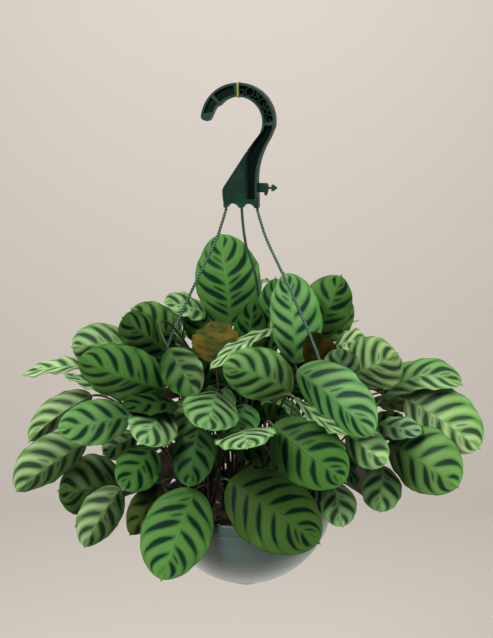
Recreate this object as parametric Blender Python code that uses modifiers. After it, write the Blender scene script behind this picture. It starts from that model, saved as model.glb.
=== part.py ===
"""Prayer plant in a half-round hanging pot, on a moulded hook with three strands."""

import math
import random

import bmesh
import bpy
from mathutils import Euler, Vector
from mathutils.bvhtree import BVHTree

MM = 0.001
SEAT_GAP = 0.3 * MM
WELD_DISTANCE = 0.01 * MM

# Pot: a half-round bowl. The pot frame has its origin at the rim's centre, with +Z up.
POT_RADIUS = 105 * MM
POT_WALL = 2.4 * MM
RIM_BAND_HEIGHT = 11 * MM
RIM_BAND_STEP = 1.2 * MM
FOOT_RADIUS = 20 * MM
FOOT_DEPTH = 108 * MM
POT_SIDES = 40
BOWL_ROWS = 5

# Soil and the holes that the shoots stand in.
SOIL_TOP = -12 * MM
SOIL_SIDES = 24
SOIL_ROWS = 5
HOLE_DEPTH = 16 * MM
CROWN_RADIUS = 4.4 * MM
CROWN_TOP_RADIUS = 3.2 * MM
CROWN_HEIGHT = 16 * MM
CROWN_SIDES = 6
CROWN_RINGS = ((1, 0.0), (6, 30.0), (10, 57.0), (13, 82.0))

# Hook: its outline is in millimetres round the centre of the arc's inner edge.
HOOK_CENTRE = Vector((-8.6, 0.0, 450.9)) * MM
HOOK_INNER_RADIUS = 28.5
HOOK_OUTER_RADIUS = 43.6
HOOK_OUTER_CENTRE = (-0.6, 0.8)
HOOK_THICKNESS = 12 * MM
HOOK_YAW = math.radians(-13)
HOOK_EDGE = 2.6
HOOK_WEB = 3.0 * MM
POCKET_WEB = 2.0 * MM
# How far a cutter reaches past the face that it cuts.
CUT_OVERRUN = 1 * MM
TIE_RADIUS = 0.45 * MM
TIE_OFFSET = TIE_RADIUS + SEAT_GAP
# Round pockets along the arc: angle in degrees, radius, and distance from the arc's centre.
HOOK_POCKETS = ((68, 4.4, 36.8), (36, 4.4, 36.8), (6, 4.4, 36.8), (83, 2.4, 34.2), (51, 2.4, 34.2),
                (21, 2.4, 34.2))
STRAND_TOP_X = {"left": -15.6, "back": 3.1, "right": 21.8}
STRAND_TOP_Z = -98.3
STRAND_NECK = 2.5 * MM

# Strands: each curves out below the hook, runs straight to its bend, then follows the foliage out to
# the rim, where it ends in a clip that straddles the rim band. The clip's sizes are in millimetres.
STRAND_RADIUS = 1.7 * MM
STRAND_POINTS = 13
CLIP_WIDTH = 9 * MM
CLIP_WALL = 2.4
CLIP_BLOCK = 4.0
CLIP_BRIDGE = 3.0
CLIP_TOP = 7.0
CLIP_INNER_LEG = 5.0
CLIP_INNER_GAP = 1.5
RIM_AZIMUTHS = {"left": 197.0, "back": 77.0, "right": 317.0}
# Where each strand curves below the hook and where it bends over the foliage: front-view across and
# up, and depth, in millimetres.
STRAND_SHOULDERS = {"left": (-31.4, 325.8, 2), "back": (-3.3, 325.8, -5), "right": (20.4, 325.8, 13)}
STRAND_KNEES = {"left": (-41.4, 300.8, 8), "back": (1.0, 300.8, -13), "right": (30.3, 300.8, 22)}
STRAND_BENDS = {"left": (-95.2, 183.1, 34), "back": (13.6, 254.0, -34), "right": (90.3, 162.4, 72)}
# A strand's last two bends before its clip: their heights over the rim, and how far outside the clip
# they lie. The back strand's first one lies inside the rim, among the leaves.
STRAND_LOWER = 110 * MM
STRAND_NEAR = 52 * MM
LOWER_OUT = {"left": 6 * MM, "back": -16.2 * MM, "right": 6 * MM}
NEAR_OUT = {"left": 4 * MM, "back": 1 * MM, "right": 4 * MM}
STRAND_END = 6 * MM

# Leaves and petioles.
BLADE_THICKNESS = 0.8 * MM
BLADE_SKEW = 0.96
BLADE_FULLNESS = 0.47
PETIOLE_RADIUS = 1.4 * MM
PETIOLE_STEPS = 4
LEAF_ARCH = 0.05
WAVE_HEIGHT = 1.7 * MM
WAVES_PER_LEAF = 2.5
BLADE_ROWS = (0.07, 0.2, 0.4, 0.6, 0.8, 0.93)
CLEARANCE = 0.9 * MM
LEAVES_PER_SHOOT = 6
# A petiole may rise from one of this many near crowns. Farther out than this reach no crown is
# wanted, and each leaf that a shoot already has counts as this much farther away.
CROWN_CHOICES = 14
FOOT_REACH = 70 * MM
SHOOT_CROWDING = 9 * MM
PETIOLE_LIFTS = (0.45, 0.7, 0.3, 0.95)
PETIOLE_PULLS = (0.25, 0.4, 0.12)
PETIOLE_SIDES = (0, 12, -12, 24, -24, 40, -40)
LEAF_SEED = 21
# A front leaf that meets another is moved along the line of sight in these steps, in millimetres,
# and then tried again with its tip nearer or farther.
NUDGE_STEP = 5
NUDGE_REACH = 70
TIP_TILTS = (0, -14, 14, -28, 28)

# The viewpoint that the front leaves were measured from: its distance in front of the pot's axis,
# its height above the rim, its downward pitch, its range to the rim's centre along the sight axis,
# and the front-view millimetres (across, up) that the sight axis meets.
VIEW_DISTANCE = 1.4403
VIEW_HEIGHT = 0.5157
VIEW_PITCH = math.radians(11.6)
VIEW_RANGE = 1.5146
VIEW_AIM = (0.6, 214.9)

# Front leaves, largest and foremost first: name, base (across, up), tip (across, up), half width,
# roll and fold in degrees, sideways bow, and depth towards the viewer of the base and the tip.
# All lengths are front-view millimetres from the rim's centre.
FRONT_LEAVES = (
    ("apron", (-20, 18), (88, -58), 50, -10, 12, 0, 106, 150),
    ("chin", (-62, 7), (-103, -103), 45, -10, 12, -2, 112, 132),
    ("lap", (33, 85), (121, 17), 41, 0, 14, 0, 135, 175),
    ("shield", (62, 151), (154, 74), 39, 22, 22, 6, 108, 165),
    ("tall", (-18, 206), (-32, 318), 41, -12, 14, -2, -36, -62),
    ("bright", (59, 161), (47, 270), 34, -16, 18, -6, 28, 2),
    ("bib", (55, 125), (-27, 158), 34, -10, 15, -6, 100, 140),
    ("wing", (-98, 128), (-203, 166), 38, -22, 20, 0, 70, 100),
    ("oval", (-142, 97), (-229, 80), 28, 0, 8, 0, 88, 108),
    ("flank", (-195, 63), (-279, 5), 35, -28, 28, -6, 72, 96),
    ("hip", (173, 62), (258, 10), 44, 15, 20, 5, 82, 126),
    ("crescent", (194, 118), (284, 57), 40, 8, 18, 4, 46, 86),
    ("chevron", (-36, 126), (-49, 81), 36, 0, 12, 0, 92, 178),
    ("drip", (-103, 111), (-127, 63), 32, 0, 10, 2, 76, 156),
    ("round", (-115, 59), (-152, 9), 28, 0, 10, 2, 56, 118),
    ("shade", (-148, 19), (-228, 5), 41, -17, 19, 2, 12, 66),
    ("ruffle", (125, 148), (184, 173), 38, 12, 18, -2, 40, 104),
    ("brim", (168, 120), (262, 135), 28, -47, -7, 14, 24, 50),
    ("sill", (-3, 80), (1, 57), 38, 0, 5, 0, 90, 192),
    ("scoop", (-94, 178), (-61, 122), 26, 0, 14, 0, 78, 88),
    ("dusk", (-98, 174), (-150, 216), 28, 12, 28, 0, 52, 104),
    ("lobe", (82, 191), (116, 267), 34, 15, 20, 0, -14, -26),
    ("slat", (33, 204), (-42, 155), 24, 70, 0, 0, 56, 94),
    ("pear", (107, 16), (118, -38), 24, 0, 22, 0, 104, 142),
    ("drop", (167, 36), (164, -20), 26, 0, 18, 0, 78, 124),
    ("under", (-58, 85), (-70, 11), 27, 0, 14, 0, 90, 128),
    ("glare", (122, 75), (171, 40), 27, 5, 30, 0, 122, 158),
    ("pleat", (118, 128), (114, 178), 24, 0, 15, 0, 52, 96),
    ("tail", (-153, 8), (-197, -63), 30, -10, 30, -3, 40, 58),
    ("ear", (-188, 121), (-264, 66), 25, -15, 42, -6, 50, 60),
    ("torn", (-136, 185), (-212, 181), 32, 9, 26, 0, 18, 60),
    ("spear", (-195, 157), (-271, 147), 24, 68, -5, 0, 30, 18),
    ("shoulder", (-86, 191), (-139, 227), 26, 0, 15, 0, 2, 30),
    ("nod", (-50, 222), (-99, 235), 22, 50, -3, 0, -30, -4),
    ("withered", (-36, 162), (-36, 212), 30, 0, 10, 0, 76, 24),
    ("behind", (30, 175), (36, 264), 24, 0, 25, 0, -2, -22),
    ("pebble", (106, 180), (144, 190), 22, -50, 0, 0, 0, 22),
    ("pool", (160, 85), (213, 75), 22, -48, 0, 0, 58, 88),
    ("ribbon", (205, 97), (254, 52), 18, -60, 0, 0, 60, 76),
    ("olive", (-105, 12), (-141, -48), 24, 0, 30, 0, 82, 94),
    ("stub", (-134, 74), (-174, 50), 22, 0, 30, 0, 40, 60),
    ("rib", (-165, 122), (-221, 147), 20, 70, 0, 0, 62, 62),
    ("curl", (61, 119), (123, 74), 22, -72, 0, -8, 138, 154),
    ("hollow", (-85, 112), (-150, 106), 26, 58, 0, 0, 42, 78),
    ("veil", (-52, 128), (-76, 180), 26, 10, 30, 0, 58, 42),
    ("post", (2, 168), (8, 236), 24, 0, 35, 0, 16, -6),
    ("dim", (154, 116), (206, 104), 20, -60, 0, 0, 20, 42),
    ("strip", (122, 56), (135, 10), 18, 63, 0, 0, 96, 106),
    ("outrider", (82, 190), (128, 237), 25, 0, 20, 0, -44, -58),
    ("spur", (-165, -8), (-208, -38), 18, 60, 0, 0, 26, 30),
    ("reed", (-78, 175), (-86, 210), 18, 70, 0, 0, 2, 0),
    ("screen", (-56, 184), (-58, 234), 20, 20, 30, 0, -12, -32),
    ("flake", (-75, 212), (-99, 226), 16, 68, 0, 0, -10, 0),
    ("sliver", (42, 257), (13, 262), 18, 82, 0, 0, -84, -92),
    ("wisp", (103, 207), (137, 213), 16, -82, 0, 0, -118, -128),
    ("fringe", (128, 176), (92, 179), 20, 75, 0, 0, 16, 18),
    ("cellar", (-18, 96), (16, 44), 26, 0, 20, 0, 52, 76),
    ("nook", (22, 92), (52, 98), 22, 30, 10, 0, 58, 92),
    ("inlet", (-14, 118), (-48, 170), 27, 0, 20, 0, 20, -4),
    ("cove", (74, 118), (44, 174), 26, 0, 20, 0, 34, 10),
    ("gully", (104, 146), (78, 198), 22, 0, 20, 0, 24, 0),
    ("gap", (-84, 146), (-98, 204), 22, 0, 20, 0, -8, -30),
    ("ditch", (-36, 84), (-96, 104), 25, 20, 20, 0, 30, 44),
    ("burrow", (152, 70), (190, 98), 21, 30, 10, 0, 40, 48),
    ("den", (4, 76), (2, 138), 25, 0, 20, 0, 22, 8),
)

# The foliage's outline in the front view, in the same millimetres, read off the photo by eye. The
# leaves of the back and sides stay inside it or behind the pot.
FOLIAGE_OUTLINE = (
    (-270, 148), (-245, 164), (-217, 172), (-216, 192), (-208, 209), (-178, 214), (-145, 217),
    (-136, 233), (-123, 237), (-100, 225), (-96, 242), (-81, 249), (-66, 248), (-65, 289), (-44, 311),
    (-20, 320), (-1, 315), (12, 292), (15, 258), (29, 262), (46, 271), (62, 269), (79, 259), (103, 270),
    (121, 262), (131, 249), (129, 219), (145, 197), (176, 194), (187, 170), (219, 171), (244, 164),
    (261, 136), (280, 122), (289, 92), (288, 55), (273, 46), (269, 31), (254, 5), (231, 0), (189, 17),
    (187, 4), (165, -22), (138, -13), (121, -40), (93, -21), (88, -45), (73, -68), (54, -74), (5, -50),
    (-29, -24), (-50, -65), (-83, -103), (-107, -100), (-129, -61), (-149, -31), (-170, -61),
    (-190, -65), (-205, -55), (-208, -20), (-227, 16), (-270, 5), (-286, 31), (-278, 49), (-264, 72),
    (-262, 101), (-227, 128), (-222, 145), (-247, 144),
)
OUTLINE_MARGIN = 4.0

# Leaves inside the front, and those of the back and sides, ring by ring: how many, their azimuths
# from +X in degrees, the radius and height of their bases, their pitch in degrees and their length.
INNER_RINGS = (
    ("core", 5, (190, 350), 34, 136, -30, 82),
    ("floor", 3, (215, 325), 42, 72, -28, 76),
)
BACK_RINGS = (
    ("low", 8, (-10, 190), 114, 44, -50, 106),
    ("mid", 8, (-2, 182), 124, 98, -34, 114),
    ("high", 6, (4, 176), 104, 156, -12, 110),
    ("top", 4, (25, 155), 52, 198, 34, 98),
    ("belt", 6, (8, 172), 88, 124, -40, 100),
)
RING_TRIES = 240
# How far a ring leaf's draw may stray: degrees of azimuth, heading, pitch and roll, and millimetres
# of its base's place.
AZIMUTH_STRAY = 9
HEADING_STRAY = 28
PITCH_STRAY = 14
ROLL_STRAY = 25
PLACE_STRAY = 16


def new_collection(name, hidden):
    """A collection in the scene; a hidden one holds cutters."""
    collection = bpy.data.collections.new(name)
    bpy.context.scene.collection.children.link(collection)
    collection.hide_render = hidden
    return collection


def add_object(name, mesh, collection, frame=None):
    """An object of its own for a mesh, parented to the frame where one is given."""
    made = bpy.data.objects.new(name, mesh)
    collection.objects.link(made)
    if frame is not None:
        made.parent = frame
    return made


def set_material(piece, name, colour, roughness, alpha=1.0):
    """A Principled material of one colour on a piece."""
    material = bpy.data.materials.get(name) or bpy.data.materials.new(name)
    material.use_nodes = True
    shader = material.node_tree.nodes["Principled BSDF"]
    shader.inputs["Base Color"].default_value = (*colour, 1.0)
    shader.inputs["Roughness"].default_value = roughness
    shader.inputs["Alpha"].default_value = alpha
    shader.inputs["Metallic"].default_value = 0.0
    piece.data.materials.clear()
    piece.data.materials.append(material)


def mark_cutter(cutter):
    """Shows a cutter as wire and keeps it out of renders."""
    cutter.hide_render = True
    cutter.display_type = "WIRE"


def evaluated_mesh(thing):
    """A mesh of an object as its modifiers or its curve show it."""
    bpy.context.view_layer.update()
    depsgraph = bpy.context.evaluated_depsgraph_get()
    return bpy.data.meshes.new_from_object(thing.evaluated_get(depsgraph))


def add_boolean(piece, operation, operand, solver="EXACT"):
    """A Boolean modifier, on one object or on a collection."""
    boolean = piece.modifiers.new(operation.title(), "BOOLEAN")
    boolean.operation = operation
    boolean.solver = solver
    if isinstance(operand, bpy.types.Collection):
        boolean.operand_type = "COLLECTION"
        boolean.collection = operand
    else:
        boolean.object = operand


def apply_modifiers(piece):
    """The piece's modifiers, applied to its mesh."""
    mesh = evaluated_mesh(piece)
    piece.modifiers.clear()
    piece.data = mesh


def weld(mesh):
    """Joins the points of a curve's mesh that lie on each other."""
    work = bmesh.new()
    work.from_mesh(mesh)
    bmesh.ops.remove_doubles(work, verts=work.verts, dist=WELD_DISTANCE)
    work.to_mesh(mesh)
    work.free()


def turned_mesh(name, profile, sides):
    """A solid turned about +Z from a profile in X and Z, through a Screw modifier."""
    mesh = bpy.data.meshes.new(name)
    points = [(radius, 0.0, height) for radius, height in profile]
    edges = [(i, i + 1) for i in range(len(points) - 1)]
    mesh.from_pydata(points, edges, [])
    turned = bpy.data.objects.new(name, mesh)
    bpy.context.scene.collection.objects.link(turned)
    screw = turned.modifiers.new("Screw", "SCREW")
    screw.steps = sides
    screw.render_steps = sides
    screw.use_merge_vertices = True
    screw.merge_threshold = 0.0001
    made = evaluated_mesh(turned)
    bpy.data.objects.remove(turned)
    return made


def make_pot(collection, frame):
    """The bowl: its wall, the band under its rim and its flat foot."""
    inner = POT_RADIUS - POT_WALL
    band = POT_RADIUS + RIM_BAND_STEP
    profile = []
    for row in range(BOWL_ROWS + 1):
        angle = math.radians(90 * row / BOWL_ROWS)
        profile.append((inner * math.sin(angle), -inner * math.cos(angle)))
    profile.append((band, 0.0))
    profile.append((band, -RIM_BAND_HEIGHT))
    start = math.asin(RIM_BAND_HEIGHT / POT_RADIUS)
    end = math.acos(FOOT_RADIUS / POT_RADIUS)
    for row in range(BOWL_ROWS + 1):
        angle = start + (end - start) * row / BOWL_ROWS
        profile.append((POT_RADIUS * math.cos(angle), -POT_RADIUS * math.sin(angle)))
    profile.append((FOOT_RADIUS - 1.5 * MM, -FOOT_DEPTH))
    profile.append((0.0, -FOOT_DEPTH))
    mesh = turned_mesh("pot", profile, POT_SIDES)
    pot = add_object("pot", mesh, collection, frame)
    mesh.shade_smooth()
    mesh.set_sharp_from_angle(angle=math.radians(35))
    set_material(pot, "translucent bowl plastic", (0.42, 0.55, 0.54), 0.35, 0.8)
    return pot


def crown_places():
    """Where each shoot stands in the soil, ring by ring."""
    places = []
    for ring, (count, radius) in enumerate(CROWN_RINGS):
        for i in range(count):
            angle = math.tau * (i + 0.5 * (ring % 2)) / count
            places.append(Vector((radius * math.cos(angle), radius * math.sin(angle), 0.0)) * MM)
    return places


def crown_prism(name, place, radius, top_radius, low, high, collection):
    """A tapered prism standing at a crown's place."""
    work = bmesh.new()
    bmesh.ops.create_cone(work, cap_ends=True, segments=CROWN_SIDES, radius1=radius, radius2=top_radius,
                          depth=high - low)
    bmesh.ops.translate(work, verts=work.verts, vec=Vector((place.x, place.y, (low + high) / 2)))
    mesh = bpy.data.meshes.new(name)
    work.to_mesh(mesh)
    work.free()
    return add_object(name, mesh, collection)


def make_soil(collection, cutters, frame, places):
    """The soil that fills the bowl, with a plain hole for each shoot."""
    radius = POT_RADIUS - POT_WALL - SEAT_GAP
    # The bowl's wall is faceted, so the soil keeps inside the middle of its flats.
    radius *= math.cos(math.pi / POT_SIDES) * math.cos(math.radians(45 / BOWL_ROWS))
    edge = math.acos(-SOIL_TOP / radius)
    profile = [(0.0, SOIL_TOP)]
    for row in range(SOIL_ROWS + 1):
        angle = edge * (1 - row / SOIL_ROWS)
        profile.append((radius * math.sin(angle), -radius * math.cos(angle)))
    mesh = turned_mesh("soil", profile, SOIL_SIDES)
    soil = add_object("soil", mesh, collection, frame)
    hole_radius = CROWN_RADIUS + SEAT_GAP / math.cos(math.pi / CROWN_SIDES)
    holes = bpy.data.collections.new("soil holes")
    for place in places:
        hole = crown_prism("hole", place, hole_radius, hole_radius, SOIL_TOP - HOLE_DEPTH,
                           SOIL_TOP + 5 * MM, cutters)
        hole.parent = frame
        mark_cutter(hole)
        holes.objects.link(hole)
    add_boolean(soil, "DIFFERENCE", holes)
    set_material(soil, "potting soil", (0.045, 0.03, 0.02), 0.95)
    return soil


def arc(centre, radius, start, end, steps):
    """Points along an arc, from start to end in degrees."""
    points = []
    for i in range(steps + 1):
        angle = math.radians(start + (end - start) * i / steps)
        points.append((centre[0] + radius * math.cos(angle), centre[1] + radius * math.sin(angle)))
    return points


def hook_outline():
    """The hook's outline in millimetres: up the outside, over the arc, back inside and down."""
    outer = arc(HOOK_OUTER_CENTRE, HOOK_OUTER_RADIUS, -8, 178, 15)
    tip = [(-41.6, 3.4), (-36.6, 0.8), (-33.4, 1.4)]
    inner = [(-30.4, 8.6), (-26.0, 16.6)] + arc((0, 0), HOOK_INNER_RADIUS, 140, -14, 11)
    neck = [(18.1, -21.0), (7.5, -36.9), (-19.1, -77.1), (-18.6, -84.0), (-17.3, -94.0)]
    legs = [(-17.3, -98.0)] + arc((-6.25, -101.0), 7.65, 157, 23, 5) + arc((12.45, -101.0), 7.65, 157, 23, 5)
    legs += [(23.5, -98.0)]
    back = [(23.4, -86.0), (22.5, -67.6), (23.4, -54.8), (26.1, -42.1), (30.9, -29.4), (37.2, -17.7)]
    return outer + tip + inner + neck + legs + back


def plate(name, outline, depth, offset=0.0):
    """A flat outline in millimetres, extruded along Y about an offset, as a closed mesh."""
    curve = bpy.data.curves.new(name, "CURVE")
    curve.dimensions = "2D"
    curve.fill_mode = "BOTH"
    curve.extrude = depth / 2
    spline = curve.splines.new("POLY")
    spline.points.add(len(outline) - 1)
    spline.use_cyclic_u = True
    for point, (across, up) in zip(spline.points, outline):
        point.co = (across * MM, up * MM, 0.0, 1.0)
    made = bpy.data.objects.new(name, curve)
    bpy.context.scene.collection.objects.link(made)
    made.rotation_euler = (math.pi / 2, 0, 0)
    mesh = evaluated_mesh(made)
    bpy.context.view_layer.update()
    mesh.transform(made.matrix_world)
    for vertex in mesh.vertices:
        vertex.co.y += offset
    bpy.data.objects.remove(made)
    weld(mesh)
    return mesh


def hook_recesses():
    """Outlines of the shallow channels: by the tip, on the arc's left, and down the neck."""
    outer = HOOK_OUTER_RADIUS - HOOK_EDGE
    inner = HOOK_INNER_RADIUS + HOOK_EDGE
    near_tip = arc(HOOK_OUTER_CENTRE, outer, 139, 168, 3) + arc((0, 0), inner + 1.0, 160, 139, 2)
    arc_left = arc(HOOK_OUTER_CENTRE, outer, 96, 133, 4) + arc((0, 0), inner, 133, 96, 4)
    neck_out = [(20.0, -88.0), (20.0, -67.6), (20.9, -55.0), (23.6, -43.0), (28.4, -30.4), (34.5, -19.0)]
    neck_in = [(22.4, -18.0), (20.8, -22.0), (13.6, -36.0), (11.6, -50.0), (12.4, -88.0)]
    neck = neck_out + arc(HOOK_OUTER_CENTRE, outer, -14, -6, 1) + arc((0, 0), inner, -6, -16, 1) + neck_in[1:]
    return near_tip, arc_left, neck


def cut_hook(hook, cutters):
    """The channels and the round pockets, cut from both faces down to a thin web."""
    cuts = bpy.data.collections.new("hook cuts")
    depth = (HOOK_THICKNESS - HOOK_WEB) / 2 + CUT_OVERRUN
    for side in (-1, 1):
        offset = side * (HOOK_THICKNESS / 2 + CUT_OVERRUN - depth / 2)
        for outline in hook_recesses():
            cuts.objects.link(add_object("recess", plate("recess", outline, depth, offset), cutters))
        for angle, radius, reach in HOOK_POCKETS:
            cuts.objects.link(make_pocket(angle, radius * MM, reach * MM, side, cutters))
    add_boolean(hook, "DIFFERENCE", cuts)
    apply_modifiers(hook)
    for piece in list(cuts.objects):
        bpy.data.objects.remove(piece)
    bpy.data.collections.remove(cuts)


def make_hook(collection, cutters, frame):
    """The hook: a channel section with a web, pockets along its arc, and the clip on its plate."""
    mesh = plate("hanger_hook", hook_outline(), HOOK_THICKNESS)
    hook = add_object("hanger_hook", mesh, collection)
    cut_hook(hook, cutters)
    joined = bpy.data.collections.new("hook joins")
    for name, block in clip_parts():
        joined.objects.link(add_object(name, block, cutters))
    add_boolean(hook, "UNION", joined)
    apply_modifiers(hook)
    for piece in list(joined.objects):
        bpy.data.objects.remove(piece)
    bpy.data.collections.remove(joined)
    hook.location = HOOK_CENTRE
    hook.rotation_euler = (0, 0, HOOK_YAW)
    hook.parent = frame
    set_material(hook, "dark green hook plastic", (0.012, 0.06, 0.035), 0.42)
    return hook


def make_pocket(angle, radius, reach, side, cutters):
    """A round pocket cut from one face down to a thin web."""
    depth = (HOOK_THICKNESS - POCKET_WEB) / 2 + CUT_OVERRUN
    work = bmesh.new()
    bmesh.ops.create_cone(work, cap_ends=True, segments=8, radius1=radius, radius2=radius, depth=depth)
    bmesh.ops.rotate(work, verts=work.verts, cent=(0, 0, 0), matrix=Euler((math.pi / 2, 0, 0)).to_matrix())
    place = Vector((reach * math.cos(math.radians(angle)), side * (POCKET_WEB + depth) / 2,
                    reach * math.sin(math.radians(angle))))
    bmesh.ops.translate(work, verts=work.verts, vec=place)
    mesh = bpy.data.meshes.new("pocket")
    work.to_mesh(mesh)
    work.free()
    return add_object("pocket", mesh, cutters)


def clip_parts():
    """The clip that stands out of the plate's right edge: block, tooth, pin and arrow head."""
    block = [(21.0, -79.8), (33.6, -79.8), (34.4, -78.6), (34.4, -71.2), (32.8, -69.4), (21.0, -69.4)]
    tooth = [(30.6, -83.4), (33.0, -83.4), (34.4, -78.6), (30.0, -78.6)]
    pin = [(33.0, -76.0), (40.0, -76.0), (40.0, -73.6), (33.0, -73.6)]
    arrow = [(38.6, -78.6), (41.0, -78.4), (45.6, -74.8), (41.0, -71.0), (38.6, -71.0)]
    parts = (("clip_block", block, 7), ("clip_tooth", tooth, 4), ("clip_pin", pin, 2.4),
             ("clip_arrow", arrow, 3))
    return [(name, plate(name, outline, depth * MM)) for name, outline, depth in parts]


def hook_point(across, up, out=0.0):
    """A point of the hook's own plane, in the pot frame, from millimetres."""
    local = Vector((across, out, up)) * MM
    local.rotate(Euler((0, 0, HOOK_YAW)))
    return HOOK_CENTRE + local


def make_tie(collection, frame):
    """The thread tied round the arc, as a thin square ring."""
    low = HOOK_INNER_RADIUS * MM - TIE_OFFSET
    high = (HOOK_OUTER_RADIUS + HOOK_OUTER_CENTRE[1]) * MM + TIE_OFFSET
    half = HOOK_THICKNESS / 2 + TIE_OFFSET
    corners = [Vector((0, out, up)) for out, up in ((-half, low), (half, low), (half, high), (-half, high))]
    mesh = tube("hook_tie", corners, TIE_RADIUS, 0, closed=True)
    tie = add_object("hook_tie", mesh, collection, frame)
    tie.location = HOOK_CENTRE
    tie.rotation_euler = (0, 0, HOOK_YAW)
    set_material(tie, "yellow thread", (0.75, 0.72, 0.08), 0.6)
    return tie


def smooth_route(points, steps):
    """Points along a smooth curve through a route's own points."""
    route = []
    padded = [points[0] * 2 - points[1]] + list(points) + [points[-1] * 2 - points[-2]]
    spans = len(points) - 1
    for i in range(steps + 1):
        place = spans * i / steps
        span = min(int(place), spans - 1)
        t = place - span
        a, b, c, d = padded[span:span + 4]
        route.append(0.5 * ((2 * b) + (c - a) * t + (2 * a - 5 * b + 4 * c - d) * t * t
                            + (3 * b - a - 3 * c + d) * t ** 3))
    return route


def rim_point(azimuth, radius, height):
    angle = math.radians(azimuth)
    return Vector((radius * math.cos(angle), radius * math.sin(angle), height))


def strand_route(name):
    """The strand's centre line: down from the hook's plate, out over the foliage, to the rim clip."""
    top = hook_point(STRAND_TOP_X[name], STRAND_TOP_Z)
    clip_radius = POT_RADIUS + RIM_BAND_STEP + CLIP_BLOCK * MM / 2
    azimuth = RIM_AZIMUTHS[name]
    bend = sight(*STRAND_BENDS[name])
    lower = rim_point(azimuth, clip_radius + LOWER_OUT[name], STRAND_LOWER)
    near = rim_point(azimuth, clip_radius + NEAR_OUT[name], STRAND_NEAR)
    end = rim_point(azimuth, clip_radius, STRAND_END)
    # A short upright neck, so that the end lies flat below the hook's lug.
    neck = top - Vector((0, 0, STRAND_NECK))
    shoulder = sight(*STRAND_SHOULDERS[name])
    knee = sight(*STRAND_KNEES[name])
    return [top] + smooth_route([neck, shoulder, knee, bend, lower, near, end], STRAND_POINTS - 1)


def tube(name, route, radius, resolution, closed=False):
    """A tube along a route, with filled caps or closed to a ring, as a closed mesh."""
    curve = bpy.data.curves.new(name, "CURVE")
    curve.dimensions = "3D"
    curve.bevel_depth = radius
    curve.bevel_resolution = resolution
    curve.use_fill_caps = not closed
    spline = curve.splines.new("POLY")
    spline.points.add(len(route) - 1)
    spline.use_cyclic_u = closed
    for point, place in zip(spline.points, route):
        point.co = (*place, 1.0)
    made = bpy.data.objects.new(name, curve)
    bpy.context.scene.collection.objects.link(made)
    mesh = evaluated_mesh(made)
    bpy.data.objects.remove(made)
    weld(mesh)
    return mesh


def rim_clip(azimuth):
    """The clip that straddles the pot's rim, as a closed outline extruded along the rim."""
    gap = 2 * SEAT_GAP / MM
    # The bowl's inner wall is faceted, so the clip's inner leg keeps a little farther off.
    inner = (POT_RADIUS - POT_WALL) / MM - CLIP_INNER_GAP
    outer = (POT_RADIUS + RIM_BAND_STEP) / MM + gap
    foot = -RIM_BAND_HEIGHT / MM - 2.0
    outline = [(inner - CLIP_WALL, -CLIP_INNER_LEG), (inner, -CLIP_INNER_LEG), (inner, gap), (outer, gap),
               (outer, foot), (outer + CLIP_BLOCK, foot), (outer + CLIP_BLOCK, CLIP_TOP),
               (outer - 1.4, CLIP_TOP), (outer - 1.4, CLIP_BRIDGE), (inner - CLIP_WALL, CLIP_BRIDGE)]
    mesh = plate("rim_clip", outline, CLIP_WIDTH)
    for vertex in mesh.vertices:
        vertex.co.rotate(Euler((0, 0, math.radians(azimuth))))
    return mesh


def make_strand(name, collection, cutters, frame):
    """One strand with the clip at its foot."""
    route = strand_route(name)
    strand = add_object(f"strand_{name}", tube(f"strand_{name}", route, STRAND_RADIUS, 2), collection)
    clip = add_object("rim_clip", rim_clip(RIM_AZIMUTHS[name]), cutters)
    add_boolean(strand, "UNION", clip)
    apply_modifiers(strand)
    bpy.data.objects.remove(clip)
    strand.parent = frame
    set_material(strand, "dark green strand plastic", (0.012, 0.07, 0.045), 0.4)
    return strand


def sight(across, up, depth):
    """The point seen at front-view millimetres (across, up), at a depth in front of the pot's axis."""
    forward = Vector((0, math.cos(VIEW_PITCH), -math.sin(VIEW_PITCH)))
    upward = Vector((0, math.sin(VIEW_PITCH), math.cos(VIEW_PITCH)))
    ray = forward + upward * ((up - VIEW_AIM[1]) * MM / VIEW_RANGE)
    ray += Vector((1, 0, 0)) * ((across - VIEW_AIM[0]) * MM / VIEW_RANGE)
    reach = (VIEW_DISTANCE - depth * MM) / ray.y
    return Vector((0, -VIEW_DISTANCE, VIEW_HEIGHT)) + ray * reach


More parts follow.
